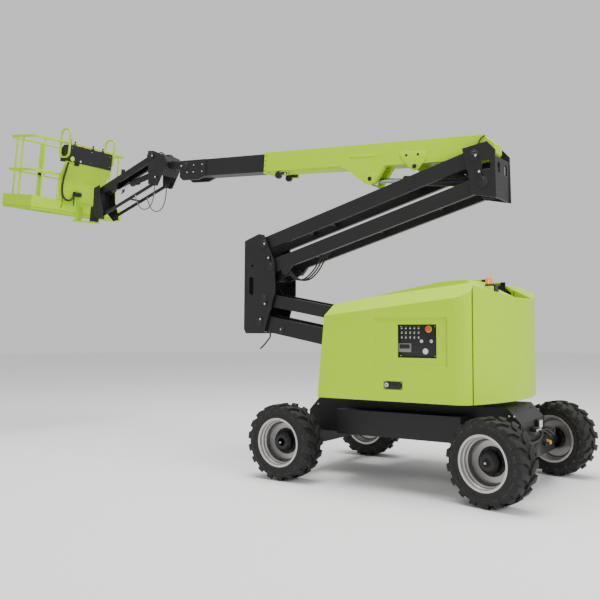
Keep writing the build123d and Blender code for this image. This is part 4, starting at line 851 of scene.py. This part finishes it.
lens = [(0.019, lamp_radius - 0.004)]
for k in range(9):
    z = 0.022 + k * 0.0065
    lens.append((z, lamp_radius - 0.0035 - 0.0004 * k))
    lens.append((z + 0.0030, lamp_radius - 0.0055 - 0.0004 * k))
lens += [(0.084, lamp_radius - 0.010), (0.094, lamp_radius - 0.018), (lamp_height, lamp_radius - 0.034)]
lathe(sheet, lamp, (0, 0, 1), lens, 48, 1)
beacon = piece("beacon_lamp", sheet, "turntable", black_paint, amber)
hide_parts("beacon")
sheet = bmesh.new()
tail_slope = Matrix.Rotation(math.radians(27.2), 3, "Y").transposed()
bar(sheet, (-1.058 + slew_x, 0.555, 2.124), (0.085, 0.090, 0.062), 0.006, tail_slope)
bar(sheet, (-1.058 + slew_x, 0.555, 2.106), (0.105, 0.115, 0.030), 0.004, tail_slope)
piece("tail_sensor_box", sheet, "turntable", black_paint)

# Counterweight tail: the closed rear face between both halves of the lime casting. A thin
# wall, curved like the casting and cast in one with it.
tail_radius = 2.200
tail_end = -1.220
tail_half = 0.3005
tail_low = 1.558
tail_top = 2.009
tail_thick = 0.024
tail_steps = 12
sheet = bmesh.new()
rows = []
for k in range(tail_steps + 1):
    y = 2 * tail_half * k / tail_steps - tail_half
    outer = tail_end + tail_radius - math.sqrt(tail_radius**2 - y * y)
    inner = outer + tail_thick
    column = [(outer, tail_low), (outer, tail_top), (inner, tail_top + 0.012), (inner, tail_low)]
    rows.append([sheet.verts.new((x + slew_x, y, z)) for x, z in column])
for here, there in zip(rows, rows[1:]):
    join_loops(sheet, here, there)
sheet.faces.new(rows[0])
sheet.faces.new(rows[-1])
bmesh.ops.recalc_face_normals(sheet, faces=sheet.faces)
piece("tail_skin", sheet, "turntable", lime)

# Hood fittings: the sloped border pressed round the recess of the near hood, and flush
# black latches with a plated lock and screws, let in low on both sides.
hood_face = 1.038
recess_outer = (-0.770, 0.050, 1.310, 1.810)
recess_slope = 0.016
sheet = bmesh.new()
x0, x1, z0, z1 = recess_outer
s = recess_slope
rings = []
for low_x, high_x, low_z, high_z, y in (
    (x0, x1, z0, z1, 1.0497),
    (x0 + s, x1 - s, z0 + s, z1 - s, hood_face + 0.0004),
    (x0, x1, z0, z1, hood_face + 0.0002),
):
    corners = ((low_x, low_z), (high_x, low_z), (high_x, high_z), (low_x, high_z))
    rings.append([sheet.verts.new((x + slew_x, y, z)) for x, z in corners])
for here, there in zip(rings, rings[1:] + rings[:1]):
    join_loops(sheet, here, there)
bmesh.ops.recalc_face_normals(sheet, faces=sheet.faces)
piece("recess_slopes", sheet, "hood_near", lime)
latch_lock = ((0.0, 0.022), (0.012, 0.022), (0.015, 0.018))
latch_key = ((0.014, 0.009), (0.019, 0.008))
for side, name in ((1, "near"), (-1, "far")):
    sheet = bmesh.new()
    bar(sheet, (-0.170 + slew_x, side * (hood_face + 0.001), 1.115), (0.206, 0.008, 0.080), 0.004)
    bar(sheet, (-0.190 + slew_x, side * (hood_face + 0.008), 1.112), (0.120, 0.012, 0.048), 0.005)
    out = Vector((0.0, side, 0.0))
    lock_at = (-0.096 + slew_x, side * hood_face, 1.118)
    lathe(sheet, lock_at, out, latch_lock, 28, 1)
    lathe(sheet, lock_at, out, latch_key, 20)
    for x, z in ((-0.262, 1.085), (-0.262, 1.145), (-0.078, 1.085), (-0.078, 1.150)):
        lathe(sheet, (x + slew_x, side * hood_face, z), out, ((0.004, 0.005), (0.007, 0.004)), 12, 1)
    piece("hood_latch_" + name, sheet, "hood_" + name, black_paint, zinc)

# Ground controls: the switch panel behind the near hood's window.
# Black enclosure with toggles, key switches, a dial and a red mushroom stop on yellow.
stop_red = paint(
    "stop_red",
    (0.62, 0.035, 0.012, 1.0),
    (0.70, 0.06, 0.02, 1.0),
    (0.8, 0.2, 0.1, 1.0),
    dust_colour,
    dust_and_top_light_share=0.05,
    gloss=0.25,
    peel=0.03,
    rounding=0.001,
)
panel_face = 1.010
window_edge = -0.220
window_top = 1.740
window_wide = 0.430
window_tall = 0.340


def on_panel(u, v):
    # A place on the panel's face, u from the front side of the window and v from its top
    return Vector((window_edge - u * window_wide + slew_x, panel_face, window_top - v * window_tall))


sheet = bmesh.new()
out = Vector((0.0, 1.0, 0.0))
bar(sheet, on_panel(0.5, 0.5) + out * 0.001, (0.400, 0.004, 0.310), 0.002)
stop = on_panel(0.78, 0.14)
lathe(sheet, stop, out, ((0.0, 0.036), (0.004, 0.036), (0.005, 0.034)), 32, 3)
knob = ((0.004, 0.013), (0.014, 0.013), (0.016, 0.024), (0.024, 0.024), (0.028, 0.018))
lathe(sheet, stop, out, knob, 32, 2)
for row in range(3):
    for column in range(5):
        spot = on_panel(0.09 + 0.11 * column, 0.12 + 0.14 * row)
        bar(sheet, spot + Vector((0.0, 0.004, 0.014)), (0.016, 0.002, 0.004), 0.0005, finish=1)
        lathe(sheet, spot, out, ((0.003, 0.007), (0.007, 0.007), (0.008, 0.003), (0.020, 0.003)), 12, 4)
for u, v in ((0.60, 0.50), (0.85, 0.50)):
    lathe(sheet, on_panel(u, v), out, ((0.0, 0.017), (0.008, 0.017), (0.010, 0.012), (0.016, 0.011)), 28, 4)
    bar(sheet, on_panel(u, v) + out * 0.018, (0.003, 0.012, 0.016), 0.001, finish=4)
dial = on_panel(0.70, 0.80)
lathe(sheet, dial, out, ((0.0, 0.030), (0.006, 0.030), (0.008, 0.027)), 36, 4)
lathe(sheet, dial, out, ((0.007, 0.024), (0.009, 0.024)), 36, 1)
bar(sheet, on_panel(0.175, 0.70) + out * 0.006, (0.145, 0.014, 0.095), 0.004, finish=5)
bar(sheet, on_panel(0.175, 0.66) + out * 0.014, (0.115, 0.003, 0.045), 0.001)
for u in (0.06, 0.94):
    for v in (0.06, 0.94):
        bolt(sheet, on_panel(u, v) + out * 0.003, out, 0.005, 4)
switch_paints = (black_paint, blank_white, stop_red, warning_yellow, zinc, grey_plastic)
piece("ground_switches", sheet, "turntable", *switch_paints)

# Risers and knuckles: box beams pinned between cut plates, in the chassis's black paint.
# Each pin is held by a flag plate and one plated bolt.
for name in (
    "lower_riser_top_link",
    "lower_riser_low_link",
    "upper_riser_top_link",
    "upper_riser_low_link",
    "timing_link",
    "lower_knuckle",
    "upper_knuckle",
    "riser_cylinder_barrel",
    "boom_cylinder_barrel",
    "jib_cylinder_barrel",
):
    coat(name, black_paint)
knuckle_face = 0.245
lower_pins = (
    ((2.100, 2.800), (-0.030, -0.004)),
    ((2.000, 2.500), (0.006, 0.109)),
    ((2.100, 2.080), (-0.036, -0.062)),
    ((2.170, 1.780), (-0.034, 0.043)),
)
upper_pins = (((-0.750, 3.570), (-0.031, -0.004)), ((-0.850, 3.270), (0.031, 0.115)))
for name, pins in (("lower_knuckle", lower_pins), ("upper_knuckle", upper_pins)):
    sheet = bmesh.new()
    for pin, offset in pins:
        for side in (-1, 1):
            keeper(sheet, pin, offset, knuckle_face, side)
    piece(name + "_keepers", sheet, name, black_paint, zinc)
sheet = bmesh.new()
for side in (-1, 1):
    spot = Vector((1.843 + slew_x, side * 0.205, 1.690))
    out = Vector((0.0, side, 0.0))
    lathe(sheet, spot, out, ((-0.002, 0.052), (0.006, 0.052), (0.008, 0.048)), 36)
    lathe(sheet, spot, out, ((0.0, 0.034), (0.014, 0.034), (0.017, 0.030)), 32)
    bolt(sheet, spot + out * 0.016, out, 0.009, 1)
piece("riser_cross_pin", sheet, "lower_riser_low", black_paint, zinc)
# The thin black bar below the lower knuckle, welded to the riser's low link
grab_bar = ((2.040, 1.680), (2.001, 1.610), (2.070, 1.540), (2.150, 1.460), (2.181, 1.441))
hose("riser_grab_bar", "lower_riser_low", [(x + slew_x, 0.200, z) for x, z in grab_bar], 0.010, black_hose)


def lane_name(bundle, lane):
    # Names a hose by its place across the bundle in centimetres, with m for minus
    return bundle + str(round(lane * 100)).replace("-", "m")


# Three rubber hoses sag between the risers, and four loop behind the upper knuckle
for lane in (-0.05, 0.0, 0.05):
    route = (
        (1.230 + slew_x, lane, 2.700),
        (1.337 + slew_x, lane * 1.1, 2.590),
        (1.450 + slew_x, lane * 1.2, 2.420),
        (1.600 + slew_x, lane * 1.2, 2.310),
        (1.780 + slew_x, lane, 2.340),
        (1.900 + slew_x, lane * 0.8, 2.480),
    )
    hose(lane_name("riser_hose_", lane), "upper_riser_low", route, 0.0095, black_hose)
rear_loop = ((-0.900, 3.160), (-0.790, 3.130), (-0.740, 3.180), (-0.800, 3.260), (-0.930, 3.300))
for lane in (-0.06, -0.02, 0.03, 0.07):
    route = [(x + slew_x, lane, z + lane * 0.3) for x, z in rear_loop]
    hose(lane_name("knuckle_hose_", lane), "upper_knuckle", route, 0.010, black_hose)

# Lift cylinders: drawn steel barrels with a screwed gland, port blocks and a feed pipe.
# Painted black with the frames; the rods are the chromed ones above.
jib_top = (4.250, 4.250)
jib_way = Vector((1.170, -0.390)).normalized()
eye_along = 0.950
eye_below = 0.100
jib_eye = (
    jib_top[0] + jib_way.x * eye_along + jib_way.y * eye_below,
    jib_top[1] + jib_way.y * eye_along - jib_way.x * eye_below,
)
port = ((0.010, 0.012), (0.028, 0.012), (0.030, 0.008))
gland_bolts = 8
for name, body, base, eye, radius, length in (
    ("riser", "riser_barrel", (-0.450, 1.080), (1.719, 1.696), 0.060, 1.480),
    ("boom", "boom_barrel", (-0.700, 3.330), (0.588, 3.490), 0.055, 0.900),
    ("jib", "jib_barrel", (4.180, 4.055), jib_eye, 0.042, 0.640),
):
    start = Vector((base[0] + slew_x, 0.0, base[1]))
    way = Vector((eye[0] - base[0], 0.0, eye[1] - base[1])).normalized()
    over = Vector((-way.z, 0.0, way.x)) * (1 if name == "boom" else -1)
    tilt = Matrix.Rotation(math.atan2(-way.z, way.x), 3, "Y")
    sheet = bmesh.new()
    weld = (
        (0.085, radius + 0.001),
        (0.090, radius + 0.005),
        (0.100, radius + 0.005),
        (0.105, radius + 0.001),
    )
    lathe(sheet, start, way, weld, 40)
    gland = (
        (length - 0.115, radius + 0.001),
        (length - 0.112, radius + 0.0065),
        (length - 0.064, radius + 0.0065),
    )
    lathe(sheet, start, way, gland, 40)
    for i in range(gland_bolts):
        angle = math.tau * i / gland_bolts
        spoke = over * math.cos(angle) + Vector((0.0, math.sin(angle), 0.0))
        bolt(sheet, start + way * (length - 0.066) + spoke * (radius - 0.008), way, 0.006, 1)
    for place in (0.150, length - 0.140):
        bar(sheet, start + way * place + over * (radius + 0.006), (0.050, 0.036, 0.022), 0.003, tilt)
        lathe(sheet, start + way * place + over * radius, over, port, 6, 1)
    piece(name + "_cylinder_ports", sheet, body, black_paint, zinc)
    route = []
    for lift, along in ((-0.010, 0.140), (0.010, 0.200), (0.010, length - 0.190), (-0.010, length - 0.130)):
        route.append(start + way * along + over * (radius + lift) + Vector((0.0, 0.020, 0.0)))
    hose(name + "_cylinder_pipe", body, route, 0.006, black_hose)

# Main boom and fly boom: the outer box section is lime, the sliding one is black.
# Welded doubler plates, a bolted roller bracket and the collar's screws stand on the sides.
coat("main_boom", lime)
coat("fly_boom", black_paint)
boom_pivot = Vector((-0.860 + slew_x, 0.0, 3.660))
boom_tilt = Matrix.Rotation(math.radians(-3.85), 3, "Y")
boom_half = 0.130
doubler_face = boom_half + 0.008
lug_face = 0.138
collar_at = 3.008
disc = ((0.0, 0.016), (0.0015, 0.016))
boss = ((0.0, 0.026), (0.010, 0.026), (0.012, 0.022))
lug_pin = ((0.0, 0.027), (0.004, 0.027), (0.006, 0.023))
roller = ((0.0, 0.048), (0.036, 0.048), (0.040, 0.042))
doubler = (
    (0.715, 0.030),
    (1.050, 0.030),
    (1.045, -0.030),
    (0.905, -0.180),
    (0.850, -0.200),
    (0.800, -0.180),
    (0.705, -0.060),
)


def on_boom(along, across, above):
    # A point in the boom's own frame, from its pivot
    return boom_pivot + boom_tilt @ Vector((along, across, above))


sheet = bmesh.new()
flat = [on_boom(s, 0.0, up) for s, up in doubler]
for side in (-1, 1):
    sides = sorted((side * (boom_half + 0.0005), side * (boom_half + 0.0085)))
    plate(sheet, [(p.x, p.z) for p in flat], sides[0], sides[1], 0.002)
    out = Vector((0.0, side, 0.0))
    for s, up in ((0.963, -0.016), (0.816, -0.015)):
        lathe(sheet, on_boom(s, side * doubler_face, up), out, disc, 28, 1)
    lathe(sheet, on_boom(0.850, side * doubler_face, -0.150), out, boss, 32, 1)
    bolt(sheet, on_boom(0.884, side * doubler_face, -0.118), out, 0.009, 2)
    bar(sheet, on_boom(1.541, side * (boom_half + 0.001), 0.014), (0.376, 0.008, 0.030), 0.003, boom_tilt)
    lathe(sheet, on_boom(1.4333, side * lug_face, -0.2668), out, lug_pin, 36, 1)
    bolt(sheet, on_boom(1.395, side * lug_face, -0.222), out, 0.008, 2)
    bracket_at = on_boom(2.750, side * (boom_half - 0.012), -0.132)
    bar(sheet, bracket_at, (0.200, 0.024, 0.050), 0.006, boom_tilt, 1)
    lathe(sheet, on_boom(2.800, side * (boom_half - 0.030), -0.150), out, roller, 32, 1)
    bolt(sheet, on_boom(2.690, side * boom_half, -0.138), out, 0.013, 2)
    for up in (0.110, 0.045, -0.020, -0.085):
        bolt(sheet, on_boom(collar_at, side * 0.136, up), out, 0.007, 1)
for across in (-0.085, 0.0, 0.085):
    bolt(sheet, on_boom(collar_at, across, 0.161), boom_tilt @ Vector((0, 0, 1)), 0.007, 1)
piece("boom_plates", sheet, "main_boom", lime, black_paint, zinc)
rear_hose = (
    (-0.846, 0.1395, 3.800),
    (-0.800, 0.1400, 3.790),
    (-0.764, 0.1405, 3.709),
    (-0.700, 0.1400, 3.660),
)
route = [(x + slew_x, y, z) for x, y, z in rear_hose]
hose("boom_rear_hose", "main_boom", route, 0.007, black_hose)
sheet = bmesh.new()
for side in (-1, 1):
    out = Vector((0.0, side, 0.0))
    for s in (4.140, 4.300, 4.420):
        for up in (0.070, -0.030):
            bolt(sheet, on_boom(s, side * 0.122, up), out, 0.009, 1)
piece("fly_boom_bolts", sheet, "fly_boom", black_paint, zinc)

# Jib: knuckle plates, an arm with its parallel ties, and the bracket and rotator that
# carry the platform, all in black with plated keeper bolts.
for name in ("jib_knuckle", "jib_arm", "jib_tie", "jib_end_bracket", "rotator"):
    coat(name, black_paint)
jib_face = 0.160
fly_face = 0.122
sheet = bmesh.new()
for pin, offset, face in (
    ((4.250, 4.250), (-0.055, -0.010), jib_face),
    ((4.150, 3.860), (-0.020, 0.060), jib_face),
    ((3.589, 4.026), (0.055, 0.0), fly_face),
):
    for side in (-1, 1):
        keeper(sheet, pin, offset, face, side)
piece("jib_knuckle_keepers", sheet, "jib_knuckle", black_paint, zinc)
loop = ((3.930, 4.130), (3.950, 4.200), (4.031, 4.240), (4.090, 4.310), (4.150, 4.270))
for lane in (-0.10, -0.06, 0.06, 0.10):
    route = [(x + slew_x, lane, z + abs(lane) * 0.2 - 0.02) for x, z in loop]
    hose(lane_name("jib_top_hose_", lane), "jib_knuckle", route, 0.008, black_hose)
hose_end = ((-0.016, 0.0105), (0.018, 0.0105), (0.020, 0.0125), (0.036, 0.0125))
sheet = bmesh.new()
for side in (-1, 1):
    for x, z in (jib_hose_route[0], jib_hose_route[-1]):
        spot = Vector((x + slew_x, side * jib_hose_y, z))
        lathe(sheet, spot, (0, 0, 1), hose_end, 6)
piece("jib_hose_ends", sheet, "jib_tie", zinc)

# Platform: welded lime tube rails over a floor with toe boards and a hinged gate,
# and the support plate of the console.
for name in ("platform_floor", "platform_rails", "platform_gate", "console_panel"):
    coat(name, lime)
sheet = bmesh.new()
for y in (-0.74, -0.30, 0.30, 0.74):
    for lz in (0.05, 0.13):
        spot = on_platform(0.7415, y, lz)
        bolt(sheet, spot, platform_tilt @ Vector((1, 0, 0)), 0.006, 1)
for side in (-1, 1):
    for lx in (0.06, 0.37, 0.68):
        bolt(sheet, on_platform(lx, side * 0.900, 0.085), (0, side, 0), 0.006, 1)
bar(sheet, on_platform(0.705, 0.285, 0.575), (0.045, 0.090, 0.040), 0.006, platform_tilt)
bar(sheet, on_platform(0.690, 0.240, 0.585), (0.020, 0.070, 0.018), 0.004, platform_tilt, 1)
bar(sheet, on_platform(0.020, -0.860, 0.820), (0.050, 0.050, 0.090), 0.006, platform_tilt)
piece("platform_latch", sheet, "platform", black_paint, zinc)

# Console: a moulded black control box on the lime support plate, with three joysticks,
# toggles, an aerial stub, a socket box for the cable and its retaining strap.
coat("console_box", black_paint)
sheet = bmesh.new()
rise = platform_tilt @ Vector((0, 0, 1))
box_top = 1.030
boot = (
    (-0.004, 0.036),
    (0.006, 0.036),
    (0.014, 0.026),
    (0.022, 0.028),
    (0.030, 0.018),
    (0.038, 0.019),
    (0.046, 0.010),
)
grip = ((0.040, 0.006), (0.055, 0.006), (0.058, 0.014), (0.076, 0.014), (0.081, 0.008))
for y in (-0.300, -0.100, 0.260):
    lathe(sheet, on_platform(-0.075, y, box_top), rise, boot, 28)
    lathe(sheet, on_platform(-0.075, y, box_top), rise, grip, 20)
for k in range(7):
    spot = on_platform(-0.125, -0.330 + 0.105 * k, box_top)
    lathe(sheet, spot, rise, ((0.0, 0.009), (0.005, 0.009), (0.006, 0.003), (0.022, 0.004)), 12, 1)
stop = on_platform(-0.080, 0.120, box_top)
lathe(sheet, stop, rise, ((-0.002, 0.032), (0.002, 0.032)), 28, 3)
knob = ((0.0, 0.013), (0.012, 0.013), (0.014, 0.023), (0.024, 0.023), (0.028, 0.016))
lathe(sheet, stop, rise, knob, 28, 2)
back = platform_tilt @ Vector((-1, 0, 0))
aerial = ((0.0, 0.009), (0.050, 0.006), (0.110, 0.005), (0.114, 0.003))
lathe(sheet, on_platform(-0.150, 0.395, box_top - 0.01), rise, aerial, 16)
white_cap = ((-0.01, 0.012), (0.010, 0.014), (0.014, 0.010))
lathe(sheet, on_platform(-0.174, 0.206, 0.800), back, white_cap, 20, 4)
lime_cover = ((-0.01, 0.038), (0.004, 0.038), (0.006, 0.034))
lathe(sheet, on_platform(-0.172, 0.359, 0.815), back, lime_cover, 36, 5)
for y in (-0.38, 0.0, 0.38):
    for lz in (0.815, 0.985):
        bolt(sheet, on_platform(-0.175, y, lz), back, 0.006, 1)
bar(sheet, on_platform(-0.125, 0.245, 0.752), (0.060, 0.090, 0.050), 0.008, platform_tilt)
bar(sheet, on_platform(-0.125, 0.400, 0.752), (0.036, 0.040, 0.040), 0.006, platform_tilt)
bar(sheet, on_platform(-0.032, 0.084, 0.293), (0.052, 0.148, 0.072), 0.008, platform_tilt)
bar(sheet, on_platform(-0.034, 0.150, 0.285), (0.030, 0.050, 0.030), 0.006, platform_tilt)
for y, lz in ((0.03, 0.315), (0.03, 0.270), (0.12, 0.315)):
    bolt(sheet, on_platform(-0.058, y, lz), back, 0.005, 1)
for y in (-0.40, -0.20, 0.20, 0.40):
    for lz in (0.12, 0.46):
        bolt(sheet, on_platform(-0.007, y, lz), back, 0.006, 1)
console_paints = (black_paint, zinc, stop_red, warning_yellow, blank_white, lime)
piece("console_controls", sheet, "platform", *console_paints)
drop = ((-0.030, 0.141, 0.262), (-0.031, 0.142, 0.200), (-0.030, 0.138, 0.150), (-0.028, 0.134, 0.105))
hose("console_drop", "platform", [on_platform(*place) for place in drop], 0.009, black_sleeve)
strap = (
    (-0.012, 0.360, 0.219),
    (-0.014, 0.350, 0.150),
    (-0.014, 0.346, 0.099),
    (-0.018, 0.362, 0.050),
    (-0.014, 0.378, 0.039),
)
hose("console_strap", "platform", [on_platform(*place) for place in strap], 0.004, black_sleeve)

low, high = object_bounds()
